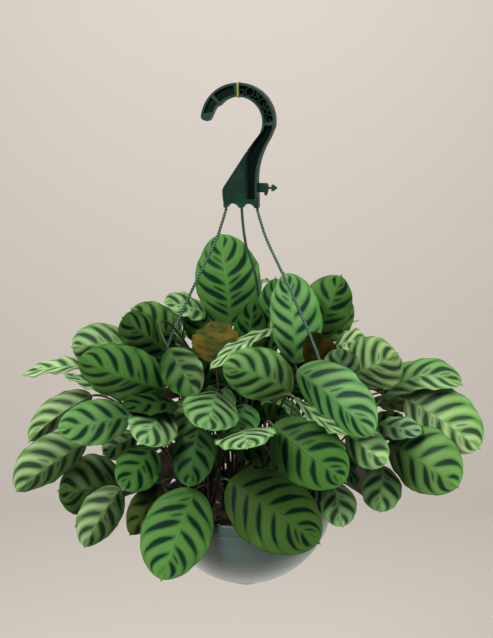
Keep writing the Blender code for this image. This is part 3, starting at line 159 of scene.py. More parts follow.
# Front leaves, largest and foremost first: name, base (across, up), tip (across, up), half width,
# roll and fold in degrees, sideways bow, depth towards the viewer of the base and the tip, and look.
# All lengths are front-view millimetres from the rim's centre. A look is how bright the leaf is, partly its
# own tone and partly painted light and shade, its warmth from blue-green at -1 to olive at 1, how pale it is,
# which is a painted highlight, and the side that this highlight leans to, from left at -1 to right at 1.
FRONT_LEAVES = (
    ("apron", (-20, 18), (88, -58), 50, -10, 12, 0, 106, 150, (0.5, 0.4, 0, 0)),
    ("chin", (-62, 7), (-103, -103), 45, -10, 12, -2, 112, 132, (1.12, 0.1, 0.05, 0)),
    ("lap", (33, 85), (121, 17), 41, 0, 14, 0, 135, 175, (0.72, 0.15, 0, 0)),
    ("shield", (62, 151), (154, 74), 39, 22, 22, 6, 108, 165, (1.08, -0.15, 0.15, -0.4)),
    ("tall", (-18, 206), (-32, 318), 41, -12, 14, -2, -36, -62, (0.9, 0.15, 0, 0)),
    ("bright", (59, 161), (47, 270), 34, -16, 18, -6, 28, 2, (1.1, -0.1, 0.15, -0.5)),
    ("bib", (55, 125), (-27, 158), 34, -10, 15, -6, 100, 140, (1.08, 0.1, 0.2, 0.4)),
    ("wing", (-98, 128), (-203, 166), 38, -22, 20, 0, 70, 100, (0.82, 0.1, 0.05, -0.5)),
    ("oval", (-142, 97), (-229, 80), 28, 0, 8, 0, 88, 108, (1.0, -0.1, 0.15, -0.3)),
    ("flank", (-195, 63), (-279, 5), 35, -28, 28, -6, 72, 96, (0.85, -0.05, 0.45, 1.0)),
    ("hip", (173, 62), (258, 10), 44, 15, 20, 5, 82, 126, (1.1, 0.25, 0.1, 0.2)),
    ("crescent", (194, 118), (284, 57), 40, 8, 18, 4, 46, 86, (1.3, 0.2, 0.55, 0.7)),
    ("chevron", (-36, 126), (-49, 81), 36, 0, 12, 0, 92, 178, (0.75, -0.1, 0.3, 0)),
    ("drip", (-103, 111), (-127, 63), 32, 0, 10, 2, 76, 156, (0.9, -0.1, 0.4, 0)),
    ("round", (-115, 59), (-152, 9), 28, 0, 10, 2, 56, 118, (0.7, 0, 0.05, 0)),
    ("shade", (-148, 19), (-228, 5), 41, -17, 19, 2, 12, 66, (0.55, 0.3, 0.3, 0.8)),
    ("ruffle", (125, 148), (184, 173), 38, 12, 18, -2, 40, 104, (1.25, 0.25, 0.5, 0)),
    ("brim", (168, 120), (262, 135), 28, -47, -7, 14, 24, 50, (0.95, 0, 0.35, 0.6)),
    ("sill", (-3, 80), (1, 57), 38, 0, 5, 0, 90, 192, (0.9, -0.1, 0.5, 0)),
    ("scoop", (-94, 178), (-61, 122), 26, 0, 14, 0, 78, 88, (0.6, 0, 0.3, -1.0)),
    ("dusk", (-98, 174), (-150, 216), 28, 12, 28, 0, 52, 104, (0.55, 0.25, 0.05, -0.5)),
    ("lobe", (82, 191), (116, 267), 34, 15, 20, 0, -14, -26, (0.78, 0.3, 0, 0)),
    ("slat", (33, 204), (-42, 155), 24, 70, 0, 0, 56, 94, (0.95, -0.1, 0.7, 0)),
    ("pear", (107, 16), (118, -38), 24, 0, 22, 0, 104, 142, (1.0, -0.1, 0.35, -0.3)),
    ("drop", (167, 36), (164, -20), 26, 0, 18, 0, 78, 124, (1.0, 0.1, 0.3, 0.3)),
    ("under", (-58, 85), (-70, 11), 27, 0, 14, 0, 90, 128, (0.42, -0.1, 0.05, 0)),
    ("glare", (122, 75), (171, 40), 27, 5, 30, 0, 122, 158, (1.05, 0, 0.5, 0)),
    ("pleat", (118, 128), (114, 178), 24, 0, 15, 0, 52, 96, (0.8, -0.5, 0.5, 0)),
    ("tail", (-153, 8), (-197, -63), 30, -10, 30, -3, 40, 58, (0.8, 0.1, 0.5, 0.9)),
    ("ear", (-188, 121), (-264, 66), 25, -15, 42, -6, 50, 60, (0.95, 0.15, 0.55, 0.3)),
    ("torn", (-136, 185), (-212, 181), 32, 9, 26, 0, 18, 60, (0.95, 0.1, 0.5, -0.3)),
    ("spear", (-195, 157), (-271, 147), 24, 68, -5, 0, 30, 18, (1.0, 0.1, 0.8, 0)),
    ("shoulder", (-86, 191), (-139, 227), 26, 0, 15, 0, 2, 30, (0.9, 0.35, 0.1, 0)),
    ("nod", (-50, 222), (-99, 235), 22, 50, -3, 0, -30, -4, (0.95, 0.1, 0.4, 0)),
    ("withered", (-36, 162), (-36, 212), 30, 0, 10, 0, 76, 24, (0.7, 1.0, 0, 0)),
    ("behind", (30, 175), (36, 264), 24, 0, 25, 0, -2, -22, (0.55, 0, 0, 0)),
    ("pebble", (106, 180), (144, 190), 22, -50, 0, 0, 0, 22, (0.9, 0.4, 0.6, 0)),
    ("pool", (160, 85), (213, 75), 22, -48, 0, 0, 58, 88, (0.8, -0.4, 0.4, 0)),
    ("ribbon", (205, 97), (254, 52), 18, -60, 0, 0, 60, 76, (0.8, -0.4, 0.4, 0)),
    ("olive", (-105, 12), (-141, -48), 24, 0, 30, 0, 82, 94, (0.4, 0.9, 0.05, 0)),
    ("stub", (-134, 74), (-174, 50), 22, 0, 30, 0, 40, 60, (0.9, 0, 0.4, 0)),
    ("rib", (-165, 122), (-221, 147), 20, 70, 0, 0, 62, 62, (0.9, 0.1, 0.5, 0)),
    ("curl", (61, 119), (123, 74), 22, -72, 0, -8, 138, 154, (0.9, 0, 0.6, 0)),
    # hollow, veil and post lie deep in the plant: their low brightness is painted shade.
    ("hollow", (-85, 112), (-150, 106), 26, 58, 0, 0, 42, 78, (0.22, 0.1, 0, 0)),
    ("veil", (-52, 128), (-76, 180), 26, 10, 30, 0, 58, 42, (0.25, 0.1, 0, 0)),
    ("post", (2, 168), (8, 236), 24, 0, 35, 0, 16, -6, (0.3, 0.1, 0, 0)),
    ("dim", (154, 116), (206, 104), 20, -60, 0, 0, 20, 42, (0.4, 0.6, 0, 0)),
    ("strip", (122, 56), (135, 10), 18, 63, 0, 0, 96, 106, (0.5, -0.4, 0.1, 0)),
    ("outrider", (82, 190), (128, 237), 25, 0, 20, 0, -44, -58, (0.95, 0.2, 0.25, 0)),
    ("spur", (-165, -8), (-208, -38), 18, 60, 0, 0, 26, 30, (0.6, 0, 0.1, 0)),
    ("reed", (-78, 175), (-86, 210), 18, 70, 0, 0, 2, 0, (0.8, 0, 0.3, 0)),
    ("screen", (-56, 184), (-58, 234), 20, 20, 30, 0, -12, -32, (0.6, 0, 0, 0)),
    ("flake", (-75, 212), (-99, 226), 16, 68, 0, 0, -10, 0, (1.0, 0.3, 0.5, 0)),
    ("sliver", (42, 257), (13, 262), 18, 82, 0, 0, -84, -92, (1.0, 0.1, 0.6, 0)),
    ("wisp", (103, 207), (137, 213), 16, -82, 0, 0, -118, -128, (1.2, 0.1, 0.85, 0)),
    ("fringe", (128, 176), (92, 179), 20, 75, 0, 0, 16, 18, (0.9, 0.4, 0.7, 0)),
    # From here on, dark leaves deep in the plant, whose low brightness is painted shade.
    ("cellar", (-18, 96), (16, 44), 26, 0, 20, 0, 52, 76, (0.22, 0.1, 0, 0)),
    ("nook", (22, 92), (52, 98), 22, 30, 10, 0, 58, 92, (0.22, 0.1, 0, 0)),
    ("inlet", (-14, 118), (-48, 170), 27, 0, 20, 0, 20, -4, (0.25, 0.1, 0, 0)),
    ("cove", (74, 118), (44, 174), 26, 0, 20, 0, 34, 10, (0.2, 0.1, 0, 0)),
    ("gully", (104, 146), (78, 198), 22, 0, 20, 0, 24, 0, (0.15, 1.0, 0, 0)),
    ("gap", (-84, 146), (-98, 204), 22, 0, 20, 0, -8, -30, (0.25, 0.1, 0, 0)),
    ("ditch", (-36, 84), (-96, 104), 25, 20, 20, 0, 30, 44, (0.22, 0.1, 0, 0)),
    ("burrow", (152, 70), (190, 98), 21, 30, 10, 0, 40, 48, (0.22, 0.1, 0, 0)),
    ("den", (4, 76), (2, 138), 25, 0, 20, 0, 22, 8, (0.2, 0.1, 0, 0)),
)
LEAF_LOOKS = {row[0]: row[-1] for row in FRONT_LEAVES}

# The foliage's outline in the front view, in the same millimetres, read off the photo. The leaves of the back
# and sides stay inside it or behind the pot.
FOLIAGE_OUTLINE = (
    (-270, 148), (-245, 164), (-217, 172), (-216, 192), (-208, 209), (-178, 214), (-145, 217),
    (-136, 233), (-123, 237), (-100, 225), (-96, 242), (-81, 249), (-66, 248), (-65, 289), (-44, 311),
    (-20, 320), (-1, 315), (12, 292), (15, 258), (29, 262), (46, 271), (62, 269), (79, 259), (103, 270),
    (121, 262), (131, 249), (129, 219), (145, 197), (176, 194), (187, 170), (219, 171), (244, 164),
    (261, 136), (280, 122), (289, 92), (288, 55), (273, 46), (269, 31), (254, 5), (231, 0), (189, 17),
    (187, 4), (165, -22), (138, -13), (121, -40), (93, -21), (88, -45), (73, -68), (54, -74), (5, -50),
    (-29, -24), (-50, -65), (-83, -103), (-107, -100), (-129, -61), (-149, -31), (-170, -61),
    (-190, -65), (-205, -55), (-208, -20), (-227, 16), (-270, 5), (-286, 31), (-278, 49), (-264, 72),
    (-262, 101), (-227, 128), (-222, 145), (-247, 144),
)
OUTLINE_MARGIN = 4.0

# Leaves inside the front, and those of the back and sides, ring by ring: how many, their azimuths
# from +X in degrees, the radius and height of their bases, their pitch in degrees and their length.
INNER_RINGS = (
    ("core", 5, (190, 350), 34, 136, -30, 82),
    ("floor", 3, (215, 325), 42, 72, -28, 76),
)
BACK_RINGS = (
    ("low", 8, (-10, 190), 114, 44, -50, 106),
    ("mid", 8, (-2, 182), 124, 98, -34, 114),
    ("high", 6, (4, 176), 104, 156, -12, 110),
    ("top", 4, (25, 155), 52, 198, 34, 98),
    ("belt", 6, (8, 172), 88, 124, -40, 100),
)
RING_TRIES = 240
# How far a ring leaf's draw may stray: degrees of azimuth, heading, pitch and roll, and millimetres
# of its base's place.
AZIMUTH_STRAY = 9
HEADING_STRAY = 28
PITCH_STRAY = 14
ROLL_STRAY = 25
PLACE_STRAY = 16

# Leaves of the rings draw their looks from these ranges; the paleness is a painted highlight.
RING_TONE = (0.6, 0.95)
RING_WARMTH = (-0.2, 0.35)
RING_PALE = (0.0, 0.25)
# How far a leaf's margin ripples, in millimetres, where it isn't the usual amount.
RIPPLES = {"sill": 1.5, "slat": 1.2, "drip": 1.0, "chevron": 1.2, "withered": 3.4, "curl": 1.4, "bright": 1.0,
           "ruffle": 1.2, "fringe": 2.0, "ear": 1.4}
USUAL_RIPPLE = 0.7
DRY_LEAVES = {"withered": 1.0, "olive": 0.25, "dim": 0.2, "gully": 0.9}

# The pattern of a leaf, in shares of its length and of its half width.
BAR_SPACING = 18.5 * MM
FEWEST_BARS = 3.3
FIRST_BAR = 0.02
LAST_BAR = 0.86
SWEEP_BASE = 0.12
SWEEP_GAIN = 0.16
SWEEP_FAR = 0.1
BAR_HEAD = 0.05
BAR_REACH = 0.78
BAR_SOFTNESS = 0.045
# Fine blades: rows along and columns across, their thickness, and the point at the tip.
BLADE_COLUMNS = 26
COLUMN_CROWDING = 1.15
BLADE_STEPS = 48
TIP_STEPS = 3
FINE_THICKNESS = 0.5 * MM
POINT_LENGTH = 0.034
POINT_WIDTH = 1.7 * MM
POINT_START = 0.97
POINT_TAPER = 1.3
ARCH_SHARE = 0.03
MARGIN_SHARE = 0.012
MARGIN_WAVES = 3.7
FINE_MARGIN_WAVES = 8.3
FINE_MARGIN_SHARE = 0.6
RIPPLES_PER_LEAF = 5.5
QUILT_DEPTH = 0.5 * MM
LOOK_SEED = 5
# Stems: their radius at the root, below the blade and at the knee where they meet.
STEM_ROOT = 1.5 * MM
STEM_TOP = 1.05 * MM
STEM_KNEE = 1.35 * MM
STEM_STEPS = 18
RIB_STEPS = 12
# Stems are darker by the pot's axis: two distances from it, and the shares of light there.
STEM_SHADE = (0.07, 0.17, 0.22, 1.0)
# Where the knee starts, where the midrib ends, how much it tapers and how far it lies below the blade.
KNEE_START = 0.86
RIB_END = 0.93
RIB_TAPER = 0.85
RIB_SINK = 0.75
# A sheath's heights over the soil and its radii, in millimetres.
SHEATH = ((-14, 3.9), (0, 4.1), (5, 4.2), (10, 3.9), (15, 3.3), (17.5, 2.4), (18.5, 1.2))
# Points closer together than this are merged, and in a flat plate those closer than the second one.
MERGE_DISTANCE = 0.02 * MM
PLATE_MERGE_DISTANCE = 0.01 * MM
# The bowl: steps round it and down its wall, steps for each fine rib, and degrees of its inner wall.
POT_STEPS = 128
WALL_STEPS = 180
STEPS_PER_RIB = 6
INNER_WALL_STEP = 4
# The bowl's painted light, a glow through its milky wall at the lower edge, fades out between these heights
# in the imported frame, from its foot up.
FOOT_GLOW = (-0.587, -0.564)
# The soil: steps round it, rings across its top and rows down its side.
SOIL_STEPS = 120
SOIL_RINGS = 60
SOIL_ROWS = 24
SOIL_EDGE = 4 * MM
CHIP_SEED = 11
# Bits on the soil: name and finish, how many, their lengths and thickness in millimetres, and the two
# colours of each.
CHIPS = (
    ("bark", "bark chips", 420, (3, 9), 1.6, (0.03, 0.015, 0.008), (0.12, 0.06, 0.03)),
    ("perlite", "perlite", 50, (1.5, 3), 1.8, (0.45, 0.42, 0.36), (0.7, 0.68, 0.62)),
    ("straw", "dried bits", 60, (5, 14), 0.8, (0.2, 0.13, 0.03), (0.42, 0.33, 0.1)),
)
# The backdrop's paper: its size, how far it lies forward, where it turns up, its height and its round.
PAPER_SIZE = 9.0
PAPER_SHIFT = -1.5
PAPER_TURN = 2.9
PAPER_HEIGHT = 6.0
PAPER_ROUND = 1.8
# Lights: name, place, what it faces, size and colour.
PLANT_MIDDLE = (0.0, 0.0, -0.38)
LIGHTS = (
    ("key_light", (-1.1, -1.6, 1.35), PLANT_MIDDLE, 1.0, (1.0, 0.98, 0.95)),
    ("fill_light", (1.9, -1.2, 0.7), PLANT_MIDDLE, 1.4, (0.96, 0.98, 1.0)),
    ("top_light", (0.35, 0.05, 1.9), PLANT_MIDDLE, 1.0, (1.0, 1.0, 1.0)),
    ("wall_light", (0.0, 0.9, 1.9), (0.0, 3.2, -0.2), 1.8, (1.0, 0.99, 0.97)),
)
CAMERA_LENS = 70
CAMERA_SENSOR = 36
# The floor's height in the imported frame.
FLOOR_HEIGHT = -1.6
# How far each step of the neck's channel lies above its foot and reaches left, in millimetres.
HOOK_STEPS = ((0.0, 0.0), (0.9, 1.5), (1.8, 3.0), (2.6, 4.7), (3.2, 6.6), (3.5, 8.8))
# The plate inside its raised border, above the web in millimetres, and the width of a pocket's ridge.
HOOK_LIP = 3.8
POCKET_RIDGE = 0.8
# The side clip lies to the right of this point of the hook's plane, and below it.
SIDE_CLIP = (23.5, -66)
# The twisted strands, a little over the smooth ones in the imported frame.
ROPE_RADIUS = 1.85 * MM
TIE_TWIST = 2 * MM
# Round pockets along the hook's arc: angle in degrees, radius, and distance from the arc's centre.
HOOK_POCKETS = ((68, 4.4, 36.8), (36, 4.4, 36.8), (6, 4.4, 36.8), (83, 2.4, 34.2), (51, 2.4, 34.2),
                (21, 2.4, 34.2), (53, 1.3, 39.6), (22, 1.3, 39.6))


def hook_point(across, up, out=0.0):
    """A point of the hook's own plane, in the pot frame, from millimetres."""
    local = Vector((across, out, up)) * MM
    local.rotate(Euler((0, 0, HOOK_YAW)))
    return HOOK_CENTRE + local


def smooth_route(points, steps):
    """Points along a smooth curve through a route's own points."""
    route = []
    padded = [points[0] * 2 - points[1]] + list(points) + [points[-1] * 2 - points[-2]]
    spans = len(points) - 1
    for i in range(steps + 1):
        place = spans * i / steps
        span = min(int(place), spans - 1)
        t = place - span
        a, b, c, d = padded[span:span + 4]
        route.append(0.5 * ((2 * b) + (c - a) * t + (2 * a - 5 * b + 4 * c - d) * t * t
                            + (3 * b - a - 3 * c + d) * t ** 3))
    return route


def around(angle, radius, height):
    """The point at an angle and a radius round the pot's axis."""
    return Vector((radius * cos(angle), radius * sin(angle), height))


def strand_route(name):
    """The strand's centre line: down from the hook's plate, out over the foliage, to the rim clip."""
    top = hook_point(STRAND_TOP_X[name], STRAND_TOP_Z)
    clip_radius = POT_RADIUS + RIM_BAND_STEP + CLIP_BLOCK * MM / 2
    angle = radians(RIM_AZIMUTHS[name])
    bend = sight(*STRAND_BENDS[name])
    lower = around(angle, clip_radius + LOWER_OUT[name], STRAND_LOWER)
    near = around(angle, clip_radius + NEAR_OUT[name], STRAND_NEAR)
    end = around(angle, clip_radius, STRAND_END)
    # A short upright neck, so that the end lies flat below the hook's lug.
    neck = top - Vector((0, 0, STRAND_NECK))
    shoulder = sight(*STRAND_SHOULDERS[name])
    knee = sight(*STRAND_KNEES[name])
    return [top] + smooth_route([neck, shoulder, knee, bend, lower, near, end], STRAND_POINTS - 1)


def crown_places():
    """Where each shoot stands in the soil, ring by ring."""
    places = []
    for ring, (count, radius) in enumerate(CROWN_RINGS):
        for i in range(count):
            angle = tau * (i + 0.5 * (ring % 2)) / count
            places.append(around(angle, radius, 0.0) * MM)
    return places


def sight(across, up, depth):
    """The point seen at front-view millimetres (across, up), at a depth in front of the pot's axis."""
    ray = VIEW_FORWARD + VIEW_UPWARD * ((up - VIEW_AIM[1]) * MM / VIEW_RANGE)
    ray += Vector((1, 0, 0)) * ((across - VIEW_AIM[0]) * MM / VIEW_RANGE)
    reach = (VIEW_DISTANCE - depth * MM) / ray.y
    return VIEWER + ray * reach


class Leaf:
    """A leaf blade: its midrib, the directions of its two halves and its half width."""

    def __init__(self, name, base, tip, half_width, toward, roll, fold, bow):
        self.name = name
        self.base = base
        self.chord = tip - base
        side = self.chord.cross(toward).normalized()
        normal = side.cross(self.chord).normalized()
        turn = radians(roll)
        self.face = normal * cos(turn) + side * sin(turn)
        self.arch = -side * bow + self.face * (LEAF_ARCH * self.chord.length)
        self.half_width = half_width
        self.fold = radians(fold)
        self.phase = (sum(map(ord, name)) % 12) * tau / 12

    def midrib(self, t):
        return self.base + self.chord * t + self.arch * (4 * t * (1 - t))

    def direction(self, t):
        return (self.chord + self.arch * (4 - 8 * t)).normalized()

    def spread(self, t):
        """The half width at t, as a share of the widest."""
        return sin(pi * t ** BLADE_SKEW) ** BLADE_FULLNESS

    def right(self, t):
        return self.direction(t).cross(self.face).normalized()

    def rib_normal(self, t):
        return self.right(t).cross(self.direction(t)).normalized()

    def wave(self, t, across):
        """How far the blade waves up at t, before the wave fades out by the midrib and the ends."""
        return WAVE_HEIGHT * sin(tau * WAVES_PER_LEAF * t + self.phase + (WAVE_SHIFT if across > 0 else 0.0))

    def point(self, t, across):
        """A point of the blade: t runs from base to tip, across from -1 to 1, left to right."""
        normal = self.rib_normal(t)
        reach = abs(across) * self.half_width * self.spread(t)
        outward = self.right(t) * copysign(cos(self.fold), across) - normal * sin(self.fold)
        lift = self.wave(t, across) * across * across * self.spread(t)
        return self.midrib(t) + outward * reach + normal * lift


def blade_loops(leaf, grow=0.0):
    """Rings of six points round the blade, and its last two points at the tip."""
    half = BLADE_THICKNESS / 2 + grow
    loops = []
    for t in BLADE_ROWS:
        normal = leaf.rib_normal(t)
        widen = 1 + grow / max(leaf.half_width * leaf.spread(t), 1 * MM)
        left, rib, right = (leaf.point(t, across) for across in (-widen, 0.0, widen))
        loops.append([left + normal * half, rib + normal * half, right + normal * half,
                      right - normal * half, rib - normal * half, left - normal * half])
    normal = leaf.rib_normal(1.0)
    tip = leaf.midrib(1.0) + leaf.direction(1.0) * grow
    return loops, (tip + normal * half, tip - normal * half)


def base_loop(leaf, grow=0.0):
    """The ring of six points where the petiole becomes the blade."""
    normal = leaf.rib_normal(0.0)
    right = leaf.right(0.0)
    reach = PETIOLE_RADIUS + grow
    return [leaf.base + right * (reach * cos(angle)) + normal * (0.8 * reach * sin(angle))
            for angle in map(radians, (150, 90, 30, -30, -90, -150))]


def blade_mesh(leaf, grow=0.0):
    """Points and triangles of the blade, open at its base ring."""
    loops, tip = blade_loops(leaf, grow)
    loops.insert(0, base_loop(leaf, grow))
    points = [point for loop in loops for point in loop] + list(tip)
    triangles = []
    for row in range(len(loops) - 1):
        low, high = 6 * row, 6 * row + 6
        # The upper and the lower face are split alike, so the thin blade can't cross itself.
        triangles += [(low, low + 1, high + 1), (low, high + 1, high)]
        triangles += [(low + 1, low + 2, high + 1), (low + 2, high + 2, high + 1)]
        triangles += [(low + 5, high + 4, low + 4), (low + 5, high + 5, high + 4)]
        triangles += [(low + 4, high + 4, low + 3), (low + 3, high + 4, high + 3)]
        triangles += [(low + 2, low + 3, high + 3), (low + 2, high + 3, high + 2)]
        triangles += [(low + 5, low, high), (low + 5, high, high + 5)]
    last = 6 * (len(loops) - 1)
    top = 6 * len(loops)
    low = top + 1
    triangles += [(last, last + 1, top), (last + 1, last + 2, top)]
    triangles += [(last + 5, low, last + 4), (last + 4, low, last + 3)]
    triangles += [(last + 2, last + 3, low), (last + 2, low, top)]
    triangles += [(last + 5, last, top), (last + 5, top, low)]
    return points, triangles


def bezier(points, t):
    a, b, c, d = points
    s = 1 - t
    return a * s ** 3 + b * (3 * s * s * t) + c * (3 * s * t * t) + d * t ** 3


def tube_loops(controls, leaf, radius):
    """Rings of three points along a petiole, from its root to just short of the blade."""
    loops = []
    normal = leaf.rib_normal(0.0)
    for i in range(PETIOLE_STEPS):
        t = i / PETIOLE_STEPS
        here = bezier(controls, t)
        ahead = (bezier(controls, t + 0.05) - here).normalized()
        right = ahead.cross(normal)
        if right.length < 0.05:
            right = ahead.cross(leaf.chord)
        right.normalize()
        up = right.cross(ahead).normalized()
        loops.append([here + right * (radius * cos(a)) + up * (radius * sin(a))
                      for a in map(radians, (150, 30, -90))])
        normal = up
    return loops


def ring_triangles(rings, sides):
    """Triangles between rings of points, one ring after another."""
    triangles = []
    for low in range(0, sides * (rings - 1), sides):
        high = low + sides
        for i in range(sides):
            j = (i + 1) % sides
            triangles += [(low + i, low + j, high + j), (low + i, high + j, high + i)]
    return triangles


def tube_triangles(count):
    """Triangles between rings of three points, and the cap at the root."""
    return [(0, 2, 1)] + ring_triangles(count, 3)


def leaf_solid(leaf, controls):
    """Points and triangles of a leaf with its petiole, as one closed body."""
    points, triangles = blade_mesh(leaf)
    start = len(points)
    loops = tube_loops(controls, leaf, PETIOLE_RADIUS)
    points += [point for loop in loops for point in loop]
    triangles += [tuple(start + i for i in triangle) for triangle in tube_triangles(len(loops))]
    a = start + 3 * (len(loops) - 1)
    left, right, low = a, a + 1, a + 2
    triangles += [(left, 1, 0), (left, right, 1), (right, 2, 1), (right, 3, 2), (right, low, 3), (low, 4, 3),
                  (low, 5, 4), (low, left, 5), (left, 0, 5)]
    return points, triangles


def tree_of(points, triangles):
    return BVHTree.FromPolygons([tuple(point) for point in points], triangles)


class Layout:
    """The leaves and petioles that have their place so far, and what they keep clear of."""

    def __init__(self, places):
        self.places = places
        self.leaves = []
        self.blades = []
        self.routes = []
        self.owners = []
        self.members = [[] for _ in places]
        # Sheaths and petioles, each with the number of the shoot that it belongs to.
        self.stems = [(k, sheath_tree(place)) for k, place in enumerate(places)]
        self.fixed = [bowl_tree()]
        for name in RIM_AZIMUTHS:
            self.fixed.append(self.strand_tree(name))

    def strand_tree(self, name):
        route = strand_route(name)
        reach = STRAND_RADIUS + CLEARANCE
        points = []
        for place in route:
            points += [place + Vector((reach, 0, 0)), place + Vector((-reach / 2, reach, 0)),
                       place + Vector((-reach / 2, -reach, 0))]
        return tree_of(points, tube_triangles(len(route)))

    def clear_of_pot(self, points):
        """Whether points keep outside the bowl, off its rim and higher than its foot."""
        keep_out = POT_RADIUS + RIM_BAND_STEP + 3 * MM
        clear = all(point.z > 4 * MM or point.length > keep_out for point in points)
        return clear and all(point.z > 4 * MM - FOOT_DEPTH for point in points)

    def blade_fits(self, leaf):
        points, triangles = blade_mesh(leaf, CLEARANCE)
        if not self.clear_of_pot(points):
            return None
        tree = tree_of(points, triangles)
        return None if any(tree.overlap(other) for other in self.fixed + self.blades) else tree

    def add_blade(self, leaf, tree):
        self.leaves.append(leaf)
        self.blades.append(tree)
        self.routes.append(None)
        self.owners.append(None)

    def drop_last_blade(self):
        for kept in (self.leaves, self.blades, self.routes, self.owners):
            kept.pop()

    def add_petiole(self, index, shoot, controls, tree):
        self.routes[index] = controls
        self.owners[index] = shoot
        self.members[shoot].append(index)
        self.stems.append((shoot, tree))

    def petiole_fits(self, index, shoot, controls):
        """The petiole's tree if it crosses only leaves and stems of its own shoot, else nothing."""
        leaf = self.leaves[index]
        if dips_into_soil(controls):
            return None
        tree = route_tree(leaf, controls)
        if any(tree.overlap(other) for other in self.fixed):
            return None
        if any(owner != shoot and tree.overlap(other) for owner, other in self.stems):
            return None
        for other, blade in enumerate(self.blades):
            if other != index and self.owners[other] != shoot and tree.overlap(blade):
                return None
        return None if crosses_itself(leaf, controls) else tree

    def route_petiole(self, index):
        """Gives a leaf the first petiole that is clear, the nearest crowns first."""
        leaf = self.leaves[index]
        flat = Vector((leaf.base.x, leaf.base.y, 0))
        foot = flat * min(1.0, FOOT_REACH / max(flat.length, 1 * MM))
        distances = [(place - foot).length + SHOOT_CROWDING * len(self.members[k])
                     for k, place in enumerate(self.places)]
        ranked = sorted(range(len(distances)), key=lambda k: distances[k])
        for shoot in ranked[:CROWN_CHOICES]:
            if len(self.members[shoot]) >= LEAVES_PER_SHOOT:
                continue
            for controls in petiole_routes(leaf, self.places[shoot]):
                tree = self.petiole_fits(index, shoot, controls)
                if tree:
                    self.add_petiole(index, shoot, controls, tree)
                    return True
        return False


def front_leaf(row, shift, tilt):
    """A front leaf moved along the line of sight by a shift, with its tip tilted by a further one."""
    name, base, tip, half_width, roll, fold, bow, base_depth, tip_depth, _ = row
    start = sight(*base, base_depth + shift)
    end = sight(*tip, tip_depth + shift + tilt)
    toward = (VIEWER - (start + end) / 2).normalized()
    shrink = (VIEW_DISTANCE - (base_depth + tip_depth) / 2 * MM - shift * MM) / VIEW_DISTANCE
    return Leaf(name, start, end, half_width * MM * shrink, toward, roll, fold, bow * MM * shrink)


def place_front_leaves(layout):
    """Each measured leaf, at the first depth where it is clear of those before it."""
    shifts = [0]
    for step in range(NUDGE_STEP, NUDGE_REACH + 1, NUDGE_STEP):
        shifts += [-step, step]
    for row in FRONT_LEAVES:
        for tilt, shift in ((tilt, shift) for tilt in TIP_TILTS for shift in shifts):
            leaf = front_leaf(row, shift, tilt)
            tree = layout.blade_fits(leaf)
            if tree:
                layout.add_blade(leaf, tree)
                break
        else:
            raise RuntimeError(f"no clear place for the leaf {row[0]}")


def ring_leaf(name, draw, azimuth, radius, height, pitch, length):
    """A leaf of the back or sides: its base on a ring, its chord pitched up or down and outwards."""
    azimuth = radians(azimuth + draw.uniform(-AZIMUTH_STRAY, AZIMUTH_STRAY))
    heading = azimuth + radians(draw.uniform(-HEADING_STRAY, HEADING_STRAY))
    pitch = radians(pitch + draw.uniform(-PITCH_STRAY, PITCH_STRAY))
    length *= draw.uniform(0.85, 1.12)
    radius += draw.uniform(-PLACE_STRAY, PLACE_STRAY)
    height += draw.uniform(-PLACE_STRAY, PLACE_STRAY)
    base = around(azimuth, radius, height) * MM
    out = around(heading, 1, 0)
    chord = (out * cos(pitch) + Vector((0, 0, 1)) * sin(pitch)) * (length * MM)
    toward = (out * 0.4 + Vector((0, 0, 1))).normalized()
    half_width = 0.3 * length * MM
    roll = draw.uniform(-ROLL_STRAY, ROLL_STRAY)
    fold = draw.uniform(6, 22)
    return Leaf(name, base, base + chord, half_width, toward, roll, fold, draw.uniform(-4, 4) * MM)


def front_view(point):
    """Where a point shows in the front view, in millimetres."""
    reach = point - VIEWER
    scale = VIEW_RANGE / reach.dot(VIEW_FORWARD) / MM
    return reach.x * scale + VIEW_AIM[0], reach.dot(VIEW_UPWARD) * scale + VIEW_AIM[1]


def inside_outline(across, up):
    """Whether a front-view point lies within the foliage's outline, or behind the pot."""
    if up < 0 and hypot(across, up) < POT_RADIUS / MM - OUTLINE_MARGIN:
        return True
    within = False
    for i in range(len(FOLIAGE_OUTLINE)):
        (x1, y1), (x2, y2) = FOLIAGE_OUTLINE[i - 1], FOLIAGE_OUTLINE[i]
        if (y1 > up) != (y2 > up) and across < x1 + (up - y1) * (x2 - x1) / (y2 - y1):
            within = not within
    return within


def hidden_in_front_view(leaf):
    """Whether the blade keeps inside the outline, with a margin to its sides."""
    for t in (0.0, 0.2, 0.4, 0.6, 0.8, 0.95, 1.0):
        for side in (-1.0, 1.0):
            across, up = front_view(leaf.point(t, side))
            for shift in (-OUTLINE_MARGIN, OUTLINE_MARGIN):
                if not inside_outline(across + shift, up) or not inside_outline(across, up + shift):
                    return False
    return True


def place_blade(layout, leaf):
    """Adds a blade if it is clear and can't be seen past the front leaves."""
    tree = hidden_in_front_view(leaf) and layout.blade_fits(leaf)
    if tree:
        layout.add_blade(leaf, tree)
    return bool(tree)


def place_blade_and_petiole(layout, leaf):
    """The same for a blade with its petiole, among petioles that have their place."""
    if not place_blade(layout, leaf):
        return False
    tree = layout.blades[-1]
    clear = not any(tree.overlap(stem) for _, stem in layout.stems)
    if clear and layout.route_petiole(len(layout.leaves) - 1):
        return True
    layout.drop_last_blade()
    return False


def place_rings(layout, rings, draw, place):
    """The leaves of some rings, each drawn again until it has a clear place."""
    for ring, count, (first, last), radius, height, pitch, length in rings:
        for i in range(count):
            azimuth = first + (last - first) * (i + 0.5) / count
            for _ in range(RING_TRIES):
                if place(layout, ring_leaf(f"{ring}{i}", draw, azimuth, radius, height, pitch, length)):
                    break


def route_petioles(layout):
    """A petiole for every leaf that has its blade's place, from the lowest leaf to the highest."""
    for index in sorted(range(len(layout.leaves)), key=lambda i: layout.leaves[i].base.z):
        if not layout.route_petiole(index):
            raise RuntimeError(f"no clear petiole reaches the leaf {layout.leaves[index].name}")


